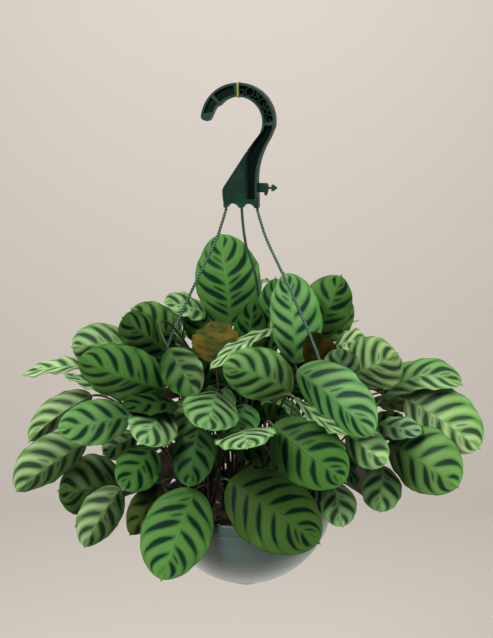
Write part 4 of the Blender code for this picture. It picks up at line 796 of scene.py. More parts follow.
def lay_out_leaves():
    """Every leaf's place: the front by measurement, the rest by a seeded draw."""
    layout = Layout(crown_places())
    draw = random.Random(LEAF_SEED)
    place_front_leaves(layout)
    place_rings(layout, INNER_RINGS, draw, place_blade)
    route_petioles(layout)
    place_rings(layout, BACK_RINGS, draw, place_blade_and_petiole)
    return layout


def petiole_routes(leaf, crown):
    """Ways for a petiole from a crown to the leaf's base, the plainest first."""
    root = crown + Vector((0, 0, SOIL_TOP + 2 * PETIOLE_RADIUS))
    away = leaf.direction(0.0)
    gap = (leaf.base - root).length
    aside = (leaf.base - root).cross(Vector((0, 0, 1)))
    aside = aside.normalized() if aside.length > 1 * MM else Vector((1, 0, 0))
    for lift in PETIOLE_LIFTS:
        for pull in PETIOLE_PULLS:
            for side in PETIOLE_SIDES:
                shift = aside * (side * MM)
                climb = Vector((0, 0, gap * lift))
                yield (root, root + climb + shift * 0.5, leaf.base - away * (gap * pull) + shift, leaf.base)


def route_tree(leaf, controls):
    """The petiole as its solid will be, with its clearance, up to the blade's base."""
    reach = PETIOLE_RADIUS + CLEARANCE
    loops = tube_loops(controls, leaf, reach)
    normal = leaf.rib_normal(0.0)
    right = leaf.right(0.0)
    loops.append([leaf.base + right * (reach * cos(angle)) + normal * (reach * sin(angle))
                  for angle in map(radians, (150, 30, -90))])
    points = [point for loop in loops for point in loop]
    return tree_of(points, tube_triangles(len(loops)))


def sheath_tree(place):
    """A sheath with its clearance, as a prism over the soil."""
    reach = CROWN_RADIUS + CLEARANCE
    points = []
    for height in (SOIL_TOP, SOIL_TOP + CROWN_HEIGHT + CLEARANCE):
        for i in range(CROWN_SIDES):
            points.append(place + around(tau * i / CROWN_SIDES, reach, height))
    sides = [(i, (i + 1) % CROWN_SIDES, CROWN_SIDES + i) for i in range(CROWN_SIDES)]
    sides += [((i + 1) % CROWN_SIDES, CROWN_SIDES + (i + 1) % CROWN_SIDES, CROWN_SIDES + i)
              for i in range(CROWN_SIDES)]
    lid = [(CROWN_SIDES, CROWN_SIDES + i, CROWN_SIDES + i + 1) for i in range(1, CROWN_SIDES - 1)]
    return tree_of(points, sides + lid)


def crosses_itself(leaf, controls):
    """Whether the petiole runs through its own blade."""
    points, triangles = leaf_solid(leaf, controls)
    tree = tree_of(points, triangles)
    return any(a < b and not set(triangles[a]) & set(triangles[b]) for a, b in tree.overlap(tree))


def dips_into_soil(controls):
    """Whether the petiole comes down to the soil again after its root."""
    low = SOIL_TOP + 2 * PETIOLE_RADIUS
    for t in (0.25, 0.5, 0.75, 1.0):
        point = bezier(controls, t)
        if point.z < low and hypot(point.x, point.y) < POT_RADIUS:
            return True
    return False


def bowl_tree():
    """The bowl's wall and rim with their clearance, as one open shell."""
    outer = POT_RADIUS + CLEARANCE
    band = POT_RADIUS + RIM_BAND_STEP + 2 * CLEARANCE
    inner = POT_RADIUS - POT_WALL - 2 * CLEARANCE
    profile = [(outer * cos(angle), -outer * sin(angle))
               for angle in map(radians, (78, 60, 42, 24, 10))]
    profile += [(band, -RIM_BAND_HEIGHT), (band, 2 * CLEARANCE), (inner, 2 * CLEARANCE), (inner, SOIL_TOP)]
    points = [around(tau * i / POT_SIDES, radius, height)
              for radius, height in profile for i in range(POT_SIDES)]
    return tree_of(points, ring_triangles(len(profile), POT_SIDES))


class Finish:
    """A Principled material, with short ways to add the nodes behind its sockets."""

    def __init__(self, name, roughness=0.5):
        self.material = bpy.data.materials.new(name)
        self.material.use_nodes = True
        self.tree = self.material.node_tree
        self.shader = self.tree.nodes["Principled BSDF"]
        self.set("Roughness", roughness)

    def join(self, value, socket):
        """Gives a socket a value, or a link from another socket."""
        if isinstance(value, bpy.types.NodeSocket):
            self.tree.links.new(value, socket)
        elif socket.type == "RGBA":
            socket.default_value = (*value[:3], 1.0)
        else:
            socket.default_value = value

    def set(self, name, value):
        self.join(value, self.shader.inputs[name])

    def node(self, kind, inputs, output=0, **settings):
        """A node with its settings and inputs, given by name or number; returns one output."""
        made = self.tree.nodes.new(kind)
        for name, value in settings.items():
            setattr(made, name, value)
        for key, value in inputs.items():
            self.join(value, made.inputs[key])
        return made.outputs[output]

    def math(self, operation, *values):
        return self.node("ShaderNodeMath", dict(enumerate(values)), operation=operation)

    def add(self, first, second):
        return self.math("ADD", first, second)

    def less(self, first, second):
        return self.math("SUBTRACT", first, second)

    def times(self, first, second):
        return self.math("MULTIPLY", first, second)

    def smooth(self, value, low, high, start=0.0, end=1.0):
        """Start below low, end above high, and a smooth step between."""
        inputs = {"Value": value, "From Min": low, "From Max": high, "To Min": start, "To Max": end}
        return self.node("ShaderNodeMapRange", inputs, interpolation_type="SMOOTHSTEP")

    def mix(self, share, first, second, blend="MIX"):
        """A mix of two colours."""
        inputs = {0: share, 6: first, 7: second}
        return self.node("ShaderNodeMix", inputs, output=2, data_type="RGBA", blend_type=blend)

    def dimmed(self, colour, share):
        """A colour times a share."""
        grey = self.node("ShaderNodeCombineColor", {0: share, 1: share, 2: share})
        return self.mix(1.0, colour, grey, blend="MULTIPLY")

    def place(self):
        """The piece's own Object coordinates."""
        return self.node("ShaderNodeTexCoord", {}, output=3)

    def noise(self, coordinates, scale, detail=2.0, roughness=0.5):
        inputs = {"Vector": coordinates, "Scale": scale, "Detail": detail, "Roughness": roughness}
        return self.node("ShaderNodeTexNoise", inputs)

    def split(self, vector):
        """A vector's three numbers."""
        made = self.tree.nodes.new("ShaderNodeSeparateXYZ")
        self.join(vector, made.inputs[0])
        return made.outputs[0], made.outputs[1], made.outputs[2]

    def attribute(self, name):
        """The three numbers of a vector attribute of the mesh."""
        made = self.tree.nodes.new("ShaderNodeAttribute")
        made.attribute_name = name
        return self.split(made.outputs["Vector"])

    def bump(self, height, distance, strength=1.0):
        normal = self.node("ShaderNodeBump", {"Height": height, "Distance": distance, "Strength": strength})
        self.set("Normal", normal)


def lens(finish, across, head, reach, skew):
    """A lens's thickness from its head outwards, as a share of its thickest."""
    ratio = finish.math("DIVIDE", finish.less(across, head), reach)
    share = finish.node("ShaderNodeClamp", {"Value": ratio, "Min": 0.0, "Max": 1.0})
    skewed = finish.math("POWER", share, skew)
    hump = finish.times(finish.times(skewed, finish.less(1.0, skewed)), 4.0)
    return finish.math("POWER", hump, 0.75)


def bar_mask(finish, place, across, side, marks, settings):
    """One set of dark bars along side veins: their width, and how far a point is from a bar's middle."""
    add, less, times = finish.add, finish.less, finish.times
    seed, count = marks
    number = finish.math("FLOOR", place)
    shift = add(add(times(side, 0.5), seed), settings["shift"])
    root = finish.math("DIVIDE", less(add(number, 0.5), shift), count)
    offset = finish.math("ABSOLUTE", less(finish.math("FRACT", place), 0.5))
    key = finish.node("ShaderNodeCombineXYZ", {0: number, 1: times(seed, 17.0), 2: side})
    chance = finish.node("ShaderNodeTexWhiteNoise", {"Vector": key})
    reach = add(settings["reach"], times(chance, settings["stray"]))
    width = times(lens(finish, across, BAR_HEAD, reach, settings["skew"]), settings["width"])
    width = times(width, add(0.78, times(chance, 0.34)))
    width = times(width, finish.math("GREATER_THAN", chance, settings["missing"]))
    width = times(width, finish.math("GREATER_THAN", root, FIRST_BAR))
    width = times(width, finish.math("LESS_THAN", root, LAST_BAR))
    return width, offset


def leaf_pattern(finish):
    """The masks of a leaf's markings: bars, their cores, bands between them, midrib and margin."""
    add, less, smooth, times = finish.add, finish.less, finish.smooth, finish.times
    u, along, _ = finish.split(finish.node("ShaderNodeUVMap", {}, uv_map="UVMap"))
    highlight_side, seed, dry = finish.attribute("marking")
    count, _, _ = finish.attribute("bars")
    signed = less(times(u, 2.0), 1.0)
    across = finish.math("ABSOLUTE", signed)
    side = finish.math("GREATER_THAN", signed, 0.0)
    wobble = less(finish.noise(finish.place(), 45.0, 1.0), 0.5)
    slant = finish.math("MULTIPLY_ADD", along, SWEEP_GAIN, SWEEP_BASE)
    curl = times(finish.math("POWER", across, 4.0), SWEEP_FAR)
    sweep = add(times(across, slant), curl)
    start = add(less(along, sweep), times(wobble, 0.03))
    place = add(add(times(start, count), times(side, 0.5)), seed)
    long_bars = {"reach": BAR_REACH, "stray": 0.14, "skew": 0.85, "width": 0.25, "missing": -1.0, "shift": 0}
    short_bars = {"reach": 0.26, "stray": 0.2, "skew": 0.8, "width": 0.12, "missing": 0.6, "shift": 0.5}
    width, offset = bar_mask(finish, place, across, side, (seed, count), long_bars)
    inside = less(width, add(offset, BAR_SOFTNESS))
    between = add(place, 0.5)
    short_width, short_offset = bar_mask(finish, between, across, side, (seed, count), short_bars)
    short_inside = less(short_width, add(short_offset, BAR_SOFTNESS))
    inside = finish.math("MAXIMUM", inside, short_inside)
    ends = times(smooth(along, 0.015, 0.05), smooth(along, 0.93, 0.985, 1.0, 0.0))
    beside = times(smooth(across, 0.02, 0.035), smooth(across, 0.04, 0.08, 1.0, 0.0))
    return {
        "bars": times(smooth(inside, -0.04, 0.03), ends),
        "cores": times(smooth(inside, 0.01, 0.09), ends),
        "halo": times(smooth(inside, -0.22, 0.0), ends),
        "band": smooth(offset, 0.15, 0.5),
        "vein": smooth(offset, 0.455, 0.495),
        "rib": smooth(across, 0.008, 0.028, 1.0, 0.0),
        "rib_sides": beside,
        "edge": smooth(across, 0.955, 0.99),
        "stripes": finish.math("SINE", times(place, tau * 9)),
        "highlight_side": finish.math("MULTIPLY_ADD", times(signed, highlight_side), 0.5, 0.5),
        "dry": dry,
        "along": along,
    }


def leaf_upper_finish(settings):
    """The upper face: satin green with dark lens-shaped bars along the side veins, painted highlight on pale
    leaves and painted shade on dark ones and towards each base.
    """
    finish = Finish("barred leaf", 0.42)
    mix, times = finish.mix, finish.times
    marks = leaf_pattern(finish)
    tone_and_shade, warmth, pale = finish.attribute("look")
    # The band between two bars is lighter in its middle: partly the leaf's own green, partly painted light on
    # the quilted bulge.
    green = mix(marks["band"], settings.lamina_deep, settings.lamina)
    clouds = finish.smooth(finish.noise(finish.place(), 38.0, 3.0), 0.3, 0.7, 0.0, 0.35)
    green = mix(clouds, green, settings.lamina_deep)
    green = mix(times(marks["halo"], 0.6), green, settings.halo)
    stripes = finish.math("MULTIPLY_ADD", marks["stripes"], 0.13, 0.96)
    green = finish.dimmed(green, stripes)
    green = mix(times(marks["vein"], 0.4), green, settings.midrib)
    green = mix(times(marks["rib_sides"], 0.35), green, settings.halo)
    green = mix(times(marks["rib"], 0.5), green, settings.midrib)
    warm = finish.math("MAXIMUM", warmth, 0.0)
    cool = finish.math("MAXIMUM", times(warmth, -1.0), 0.0)
    green = mix(times(warm, 0.8), green, settings.olive)
    green = mix(times(cool, 0.7), green, settings.blue_green)
    patches = finish.smooth(finish.noise(finish.place(), 60.0, 3.0), 0.35, 0.65)
    dead = mix(patches, settings.dry_light, settings.dry_patch)
    green = mix(marks["dry"], green, dead)
    dark = mix(marks["cores"], settings.bar_edge, settings.bar_core)
    dark = mix(marks["dry"], dark, settings.dry_dark)
    strength = finish.math("MULTIPLY_ADD", marks["dry"], -0.5, 0.96)
    face = mix(times(marks["bars"], strength), green, dark)
    # Painted highlight: pale streaks on the bulges between the bars, on the side that the highlight leans to,
    # weaker on the bars.
    ridges = finish.math("MULTIPLY_ADD", marks["band"], 0.9, 0.25)
    veil = times(times(pale, times(marks["highlight_side"], 1.5)), ridges)
    veil = finish.node("ShaderNodeClamp", {"Value": veil, "Min": 0.0, "Max": 0.85})
    veil = times(veil, finish.math("MULTIPLY_ADD", marks["bars"], -0.55, 1.0))
    face = mix(veil, face, settings.pale)
    face = mix(times(marks["edge"], 0.6), face, settings.margin)
    # Painted shade: a darker leaf also reflects less, and every leaf turns darker towards its base, where the
    # leaves above shade it.
    finish.set("Specular IOR Level", times(tone_and_shade, 0.35))
    tone_and_shade = times(tone_and_shade, finish.smooth(marks["along"], 0.0, 0.65, 0.55, 1.05))
    finish.set("Base Color", finish.dimmed(face, tone_and_shade))
    finish.set("IOR", 1.18)
    relief = finish.add(times(marks["stripes"], 0.35), finish.noise(finish.place(), 900.0, 2.0))
    finish.bump(relief, 0.12 * MM, 0.5)
    return finish.material


def leaf_under_finish(settings):
    """The underside: dull wine red with greener ribs, with painted highlight and painted shade from the
    leaf's look.
    """
    finish = Finish("leaf underside", 0.55)
    marks = leaf_pattern(finish)
    tone_and_shade, _, pale = finish.attribute("look")
    face = finish.mix(marks["band"], settings.under_deep, settings.under)
    face = finish.mix(finish.times(marks["bars"], 0.6), face, settings.under_deep)
    face = finish.mix(finish.times(marks["rib"], 0.8), face, settings.stem)
    # Painted highlight from the leaf's paleness, and painted shade from its brightness.
    face = finish.mix(finish.times(pale, 0.2), face, settings.pale)
    finish.set("Base Color", finish.dimmed(face, tone_and_shade))
    finish.set("Specular IOR Level", 0.15)
    finish.bump(marks["stripes"], 0.15 * MM, 0.5)
    return finish.material


def stem_finish(settings):
    """Petioles and sheaths: green, redder in places, with fine grooves, and painted shade by the pot's axis.
    """
    finish = Finish("leaf stem", 0.45)
    patches = finish.smooth(finish.noise(finish.place(), 28.0, 2.0), 0.45, 0.68)
    face = finish.mix(patches, settings.stem, settings.stem_red)
    grain = finish.noise(finish.place(), 700.0, 2.0)
    face = finish.mix(finish.times(grain, 0.35), face, settings.stem_dark)
    x, y, _ = finish.split(finish.place())
    away = finish.math("SQRT", finish.add(finish.times(x, x), finish.times(y, y)))
    shade = finish.smooth(away, *STEM_SHADE)
    finish.set("Base Color", finish.dimmed(face, shade))
    finish.set("Specular IOR Level", 0.25)
    finish.bump(grain, 0.1 * MM, 0.4)
    return finish.material


def clear_selection():
    bpy.ops.object.select_all(action="DESELECT")


def only(thing):
    """Makes one object the selected and active one."""
    clear_selection()
    thing.select_set(True)
    bpy.context.view_layer.objects.active = thing


def linked(name, data):
    """A new object in the scene, from a mesh or a curve."""
    made = bpy.data.objects.new(name, data)
    bpy.context.scene.collection.objects.link(made)
    return made


def merge_points(thing, distance):
    """Merges the points of a mesh that lie closer together than a distance."""
    only(thing)
    bpy.ops.object.mode_set(mode="EDIT")
    bpy.ops.mesh.select_all(action="SELECT")
    bpy.ops.mesh.remove_doubles(threshold=distance)
    bpy.ops.object.mode_set(mode="OBJECT")


def as_mesh(curve_object):
    """The mesh object that a curve object turns into."""
    only(curve_object)
    bpy.ops.object.convert(target="MESH")
    return bpy.context.view_layer.objects.active


def mesh_from(work, name):
    """The mesh that bmesh work has built, under a name."""
    mesh = bpy.data.meshes.new(name)
    work.to_mesh(mesh)
    work.free()
    return mesh


def apply_all(thing):
    only(thing)
    for modifier in list(thing.modifiers):
        bpy.ops.object.modifier_apply(modifier=modifier.name)


def soften(thing, width, angle):
    """Rounds the edges that are sharper than an angle in degrees."""
    edges = thing.modifiers.new("Edges", "BEVEL")
    edges.width = width
    edges.segments = 2
    edges.angle_limit = radians(angle)
    apply_all(thing)


def join_all(things, name):
    """Several objects as one, with the first one's name and materials first."""
    clear_selection()
    for thing in things:
        thing.select_set(True)
    bpy.context.view_layer.objects.active = things[0]
    if len(things) > 1:
        bpy.ops.object.join()
    joined = bpy.context.view_layer.objects.active
    joined.name = name
    joined.data.name = name
    return joined


def into_frame(thing):
    """Moves a piece made in the pot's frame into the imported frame, with its place in its mesh."""
    thing.data.transform(Matrix.Translation(RIM_CENTRE) @ thing.matrix_world)
    thing.matrix_world = Matrix.Identity(4)


def settle(thing, slot, *nodes):
    """Hands a finished piece to the frame, in place of its nodes."""
    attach(thing, "root")
    if nodes:
        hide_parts(*nodes)


def hand_over(thing, slot, node, angle):
    """Smooths a piece up to an angle in degrees and puts it in place of its node."""
    only(thing)
    bpy.ops.object.shade_smooth_by_angle(angle=radians(angle))
    into_frame(thing)
    settle(thing, slot, node)


def give(thing, *materials):
    thing.data.materials.clear()
    for material in materials:
        thing.data.materials.append(material)


def blade_blank():
    """A flat grid that every blade is bent from: columns across, rows from base to tip."""
    clear_selection()
    bpy.ops.mesh.primitive_grid_add(x_subdivisions=BLADE_COLUMNS, y_subdivisions=BLADE_STEPS + TIP_STEPS,
                                    size=1.0, calc_uvs=True)
    blank = bpy.context.active_object
    blank.name = "blade_blank"
    return blank


def row_place(share):
    """Where a row of the blank lies along the leaf: close together at both ends, then out to the point."""
    step = share * (BLADE_STEPS + TIP_STEPS)
    if step <= BLADE_STEPS:
        return (1 - cos(pi * step / BLADE_STEPS)) / 2
    return 1 + POINT_LENGTH * (step - BLADE_STEPS) / TIP_STEPS


def column_place(share):
    """Where a column lies across the leaf: closer together by the midrib."""
    across = 2 * share - 1
    return copysign(abs(across) ** COLUMN_CROWDING, across)


def bar_count(leaf):
    """How many bars a leaf has on each side."""
    return max(FEWEST_BARS, (leaf.midrib(1.0) - leaf.midrib(0.0)).length / BAR_SPACING)


def fine_point(leaf, along, across, seed, ripple):
    """A point of the fine blade: the leaf's own form, arched, quilted and rippled."""
    normal = leaf.rib_normal(along)
    broad = leaf.spread(along) if 0 < along < 1 else 0.0
    uneven = sin(tau * MARGIN_WAVES * along + 5 * leaf.phase + across)
    uneven += FINE_MARGIN_SHARE * sin(tau * FINE_MARGIN_WAVES * along)
    reach = broad * leaf.half_width * (1 + MARGIN_SHARE * uneven)
    if along > POINT_START:
        share = min(1.0, (1 + POINT_LENGTH - along) / POINT_LENGTH)
        reach = max(reach, POINT_WIDTH * share ** POINT_TAPER)
    size = abs(across)
    outward = leaf.right(along) * copysign(cos(leaf.fold), across) - normal * sin(leaf.fold)
    lift = leaf.wave(along, across) * size * size * broad
    lift += ARCH_SHARE * reach * 4 * size * (1 - size)
    start = along - (SWEEP_BASE + SWEEP_GAIN * along) * size - SWEEP_FAR * size ** 4
    turn = bar_count(leaf) * start + (0.5 if across > 0 else 0.0) + seed
    lift -= QUILT_DEPTH * cos(tau * (turn - 0.5)) * sin(pi * min(1.0, size * 1.1)) * broad
    ruffle = sin(tau * RIPPLES_PER_LEAF * along + 3 * leaf.phase + across)
    lift += ripple * ruffle * size ** 5 * broad
    return leaf.midrib(along) + outward * (reach * size) + normal * lift


def leaf_look(leaf, draw):
    """A leaf's brightness, warmth and paleness, then its lean, seed and dryness."""
    seed = draw.random()
    ring = [draw.uniform(*span) for span in (RING_TONE, RING_WARMTH, RING_PALE, (-1, 1))]
    tone_and_shade, warmth, pale, highlight_side = LEAF_LOOKS.get(leaf.name, ring)
    return (tone_and_shade, warmth, pale), (highlight_side, seed, DRY_LEAVES.get(leaf.name, 0.0))


def make_blade(leaf, blank, look, marking):
    """One fine blade, bent from a copy of the blank."""
    mesh = blank.data.copy()
    places = [(row_place(vertex.co.y + 0.5), column_place(vertex.co.x + 0.5)) for vertex in mesh.vertices]
    ripple = RIPPLES.get(leaf.name, USUAL_RIPPLE) * MM
    for vertex, (along, across) in zip(mesh.vertices, places):
        vertex.co = fine_point(leaf, along, across, marking[1], ripple)
    chart = mesh.uv_layers["UVMap"]
    for loop in mesh.loops:
        along, across = places[loop.vertex_index]
        chart.data[loop.index].uv = (0.5 + across / 2, along)
    for name, values in (("look", look), ("marking", marking), ("bars", (bar_count(leaf), 0.0, 0.0))):
        attribute = mesh.attributes.new(name, "FLOAT_VECTOR", "POINT")
        attribute.data.foreach_set("vector", list(values) * len(mesh.vertices))
    return linked(f"blade_{leaf.name}", mesh)


def stem_line(leaf, controls):
    """A petiole's points with their radii: up from the soil, then on below the blade as its midrib."""
    line = []
    for i in range(STEM_STEPS):
        t = i / STEM_STEPS
        radius = STEM_ROOT + (STEM_TOP - STEM_ROOT) * t
        if t > KNEE_START:
            radius = STEM_KNEE
        line.append((bezier(controls, t), radius))
    for i in range(RIB_STEPS + 1):
        t = RIB_END * i / RIB_STEPS
        radius = STEM_TOP * (1 - RIB_TAPER * (i / RIB_STEPS) ** 0.7)
        line.append((leaf.midrib(t) - leaf.rib_normal(t) * (RIB_SINK * radius), radius))
    return line


def add_spline(curve, line):
    """A poly spline through points with radii, in units of the curve's bevel depth."""
    spline = curve.splines.new("POLY")
    spline.points.add(len(line) - 1)
    for point, (place, radius) in zip(spline.points, line):
        point.co = (*place, 1.0)
        point.radius = radius / curve.bevel_depth


def make_stems(name, layout, shoot):
    """A shoot's sheath and petioles, as one mesh."""
    curve = bpy.data.curves.new(name, "CURVE")
    curve.dimensions = "3D"
    curve.bevel_depth = 1 * MM
    curve.bevel_resolution = 2
    curve.use_fill_caps = True
    foot = layout.places[shoot]
    add_spline(curve, [(foot + Vector((0, 0, SOIL_TOP + up * MM)), radius * MM) for up, radius in SHEATH])
    for index in layout.members[shoot]:
        add_spline(curve, stem_line(layout.leaves[index], layout.routes[index]))
    return as_mesh(linked(name, curve))


def make_shoot(number, layout, shoot, blank, looks, finishes):
    """One leafy shoot: its blades given their thickness, then joined to its stems."""
    upper, under, stem = finishes
    blades = []
    for index in layout.members[shoot]:
        blades.append(make_blade(layout.leaves[index], blank, *looks[index]))
    foliage = join_all(blades, f"foliage_{number:02d}")
    give(foliage, upper, under)
    merge_points(foliage, MERGE_DISTANCE)
    thickness = foliage.modifiers.new("Thickness", "SOLIDIFY")
    thickness.thickness = FINE_THICKNESS
    thickness.offset = 0.0
    thickness.material_offset = 1
    apply_all(foliage)
    stems = make_stems("stems", layout, shoot)
    give(stems, stem)
    piece = join_all([foliage, stems], f"foliage_{number:02d}")
    hand_over(piece, "leaf", f"shoot_{number:02d}", 60)


def make_shoots(settings):
    """All the leafy shoots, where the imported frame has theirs."""
    layout = lay_out_leaves()
    draw = random.Random(LOOK_SEED)
    looks = [leaf_look(leaf, draw) for leaf in layout.leaves]
    finishes = (leaf_upper_finish(settings), leaf_under_finish(settings), stem_finish(settings))
    blank = blade_blank()
    filled = [k for k, members in enumerate(layout.members) if members]
    for number, shoot in enumerate(filled, start=1):
        make_shoot(number, layout, shoot, blank, looks, finishes)
    bpy.data.objects.remove(blank)


def spun(name, points, steps):
    """A closed turned body, spun about +Z from its profile, a line of edges in the XZ plane."""
    mesh = bpy.data.meshes.new(name)
    edges = [(i, i + 1) for i in range(len(points) - 1)]
    mesh.from_pydata([(radius, 0.0, height) for radius, height in points], edges, [])
    made = linked(name, mesh)
    only(made)
    bpy.ops.object.mode_set(mode="EDIT")
    bpy.ops.mesh.select_all(action="SELECT")
    bpy.ops.mesh.spin(steps=steps, angle=tau, center=(0, 0, 0), axis=(0, 0, 1))
    bpy.ops.mesh.select_all(action="SELECT")
    bpy.ops.mesh.remove_doubles(threshold=MERGE_DISTANCE)
    bpy.ops.mesh.normals_make_consistent(inside=False)
    bpy.ops.object.mode_set(mode="OBJECT")
    return made


def rounded(corner_in, corner, corner_out, radius, steps=4):
    """Points of a small round between two edges of a profile."""
    a = Vector(corner_in) - Vector(corner)
    b = Vector(corner_out) - Vector(corner)
    start = Vector(corner) + a.normalized() * radius
    end = Vector(corner) + b.normalized() * radius
    points = []
    for i in range(steps + 1):
        t = i / steps
        points.append(tuple(start * (1 - t) ** 2 + Vector(corner) * (2 * t * (1 - t)) + end * t ** 2))
    return points


def bowl_profile(settings):
    """The bowl's outline: up its inner wall, over the rim, down the band and the ribbed wall to the foot."""
    inner = POT_RADIUS - POT_WALL
    band = POT_RADIUS + RIM_BAND_STEP
    angles = map(radians, range(0, 88, INNER_WALL_STEP))
    wall = [(inner * sin(angle), -inner * cos(angle)) for angle in angles]
    rim = [(inner, -1.2 * MM)] + rounded((inner, -2 * MM), (inner, 0), (band, 0), 0.7 * MM)
    rim += rounded((inner, 0), (band, 0), (band, -2 * MM), 0.7 * MM)
    step = (POT_RADIUS * cos(asin(RIM_BAND_HEIGHT / POT_RADIUS)), -RIM_BAND_HEIGHT)
    rim += rounded((band, -5 * MM), (band, -RIM_BAND_HEIGHT), step, 0.5 * MM)
    start = degrees(asin((RIM_BAND_HEIGHT + 0.6 * MM) / POT_RADIUS))
    end = degrees(acos(FOOT_RADIUS / POT_RADIUS))
    outer = []
    for i in range(WALL_STEPS + 1):
        angle = radians(start + (end - start) * i / WALL_STEPS)
        radius = POT_RADIUS - settings.rib_depth * (0.5 - 0.5 * cos(tau * i / STEPS_PER_RIB))
        outer.append((radius * cos(angle), -radius * sin(angle)))
    foot = rounded((FOOT_RADIUS, -FOOT_DEPTH + 2 * MM), (FOOT_RADIUS - 1 * MM, -FOOT_DEPTH), (0, -FOOT_DEPTH),
                   0.8 * MM)
    return wall + rim + outer + foot + [(FOOT_RADIUS - 5 * MM, -FOOT_DEPTH), (0.0, -FOOT_DEPTH)]


def pot_finish(settings):
    """Milky blue-green plastic: darker where the soil stands behind it, with painted light, a paler glow
    through the wall, at its lower edge.
    """
    finish = Finish("milky bowl plastic", settings.roughness)
    place = finish.place()
    _, _, height = finish.split(place)
    # Painted light: paler towards the foot, for the glow through the milky wall.
    low = finish.smooth(height, *FOOT_GLOW, 1.0, 0.0)
    cloud = finish.noise(place, 22.0, 2.0)
    face = finish.mix(finish.times(cloud, 0.6), settings.wall, settings.wall_cloud)
    face = finish.mix(finish.times(low, 0.9), face, settings.foot)
    lines = finish.noise(finish.node("ShaderNodeMapping", {0: place, 3: (6.0, 6.0, 620.0)}), 1.0, 1.0)
    face = finish.mix(finish.times(finish.smooth(lines, 0.5, 0.75), 0.14), face, settings.foot)
    finish.set("Base Color", face)
    facing = finish.node("ShaderNodeLayerWeight", {"Blend": 0.5}, output=1)
    finish.set("Coat Weight", finish.smooth(facing, 0.35, 0.85, 0.05, 1.0))
    finish.set("Coat IOR", 2.8)
    finish.set("Coat Roughness", 0.25)
    finish.set("Sheen Weight", settings.sheen)
    finish.set("Sheen Roughness", 0.35)
    finish.set("Sheen Tint", (0.74, 0.9, 0.98, 1.0))
    finish.bump(lines, 0.1 * MM, 0.3)
    return finish.material


def make_pot(settings):
    """The bowl with its rim band, faint ribs and foot."""
    pot = spun("hanging_bowl", bowl_profile(settings), POT_STEPS)
    give(pot, pot_finish(settings))
    hand_over(pot, "pot", "pot", 40)


def soil_height(x, y):
    """The soil's top: clods over a slight mound that is lower by the wall."""
    mound = 2.5 * MM * (1 - hypot(x, y) / POT_RADIUS)
    rough = noise.fractal(Vector((x, y, 0.0)) * 90, 0.8, 2.2, 4) * 2.0 * MM
    return SOIL_TOP - 1 * MM + mound + rough


def soil_finish(settings):
    finish = Finish("moist potting mix", 0.9)
    grains = finish.noise(finish.place(), 420.0, 4.0, 0.7)
    clods = finish.noise(finish.place(), 80.0, 3.0)
    face = finish.mix(finish.smooth(grains, 0.35, 0.7), settings.dark, settings.light)
    face = finish.mix(finish.smooth(clods, 0.4, 0.7, 0.0, 0.6), face, settings.dark)
    finish.set("Base Color", face)
    finish.bump(finish.add(grains, clods), 1.0 * MM, 0.8)
    return finish.material


def chip_finish(name, dark, light):
    finish = Finish(name, 0.85)
    grain = finish.noise(finish.place(), 260.0, 3.0)
    finish.set("Base Color", finish.mix(finish.smooth(grain, 0.3, 0.7), dark, light))
    finish.bump(grain, 0.4 * MM, 0.6)
    return finish.material


def scatter_chips(name, count, size, thickness, draw, material):
    """Small bits lying on the soil, all in one object."""
    work = bmesh.new()
    for _ in range(count):
        reach = 0.9 * POT_RADIUS * sqrt(draw.random())
        angle = draw.uniform(0, tau)
        x, y = reach * cos(angle), reach * sin(angle)
        turn = Euler((draw.uniform(-0.5, 0.5), draw.uniform(-0.5, 0.5), draw.uniform(0, tau)))
        scale = Matrix.Diagonal((draw.uniform(*size), draw.uniform(*size) * 0.5, thickness, 1.0))
        place = Matrix.Translation((x, y, soil_height(x, y) + 0.4 * MM))
        made = bmesh.ops.create_icosphere(work, subdivisions=1, radius=0.5,
                                          matrix=place @ turn.to_matrix().to_4x4() @ scale)
        for vertex in made["verts"]:
            vertex.co += Vector([draw.uniform(-0.35, 0.35) * MM for _ in range(3)])
    chips = linked(name, mesh_from(work, name))
    give(chips, material)
    return chips


def make_soil(settings):
    """The soil in the bowl, with bark and perlite on top."""
    radius = POT_RADIUS - POT_WALL - 2 * SEAT_GAP
    edge = acos(-SOIL_TOP / radius)
    flat = radius * sin(edge)
    profile = [(flat * i / SOIL_RINGS, SOIL_TOP) for i in range(SOIL_RINGS)]
    for row in range(SOIL_ROWS + 1):
        angle = edge * (1 - row / SOIL_ROWS)
        profile.append((radius * sin(angle), -radius * cos(angle)))
    soil = spun("potting_soil", profile, SOIL_STEPS)
    for vertex in soil.data.vertices:
        if vertex.co.z > SOIL_TOP - 0.1 * MM:
            share = min(1.0, (flat - hypot(vertex.co.x, vertex.co.y)) / SOIL_EDGE)
            vertex.co.z += (soil_height(vertex.co.x, vertex.co.y) - SOIL_TOP) * max(0.0, share)
    give(soil, soil_finish(settings))
    draw = random.Random(CHIP_SEED)
    pieces = [soil]
    for name, finish, count, (least, most), thickness, dark, light in CHIPS:
        material = chip_finish(finish, dark, light)
        size = (least * MM, most * MM)
        pieces.append(scatter_chips(name, count, size, thickness * MM, draw, material))
    soil = join_all(pieces, "potting_soil")
    hand_over(soil, "soil", "soil", 50)


def arc(centre, radius, start, end, steps):
    """Points along an arc, from start to end in degrees."""
    points = []
    for i in range(steps + 1):
        angle = radians(start + (end - start) * i / steps)
        points.append((centre[0] + radius * cos(angle), centre[1] + radius * sin(angle)))
    return points


def eased(points, steps):
    """A smooth line through a few points of an outline."""
    return [(point.x, point.y) for point in smooth_route([Vector((x, y, 0)) for x, y in points], steps)]


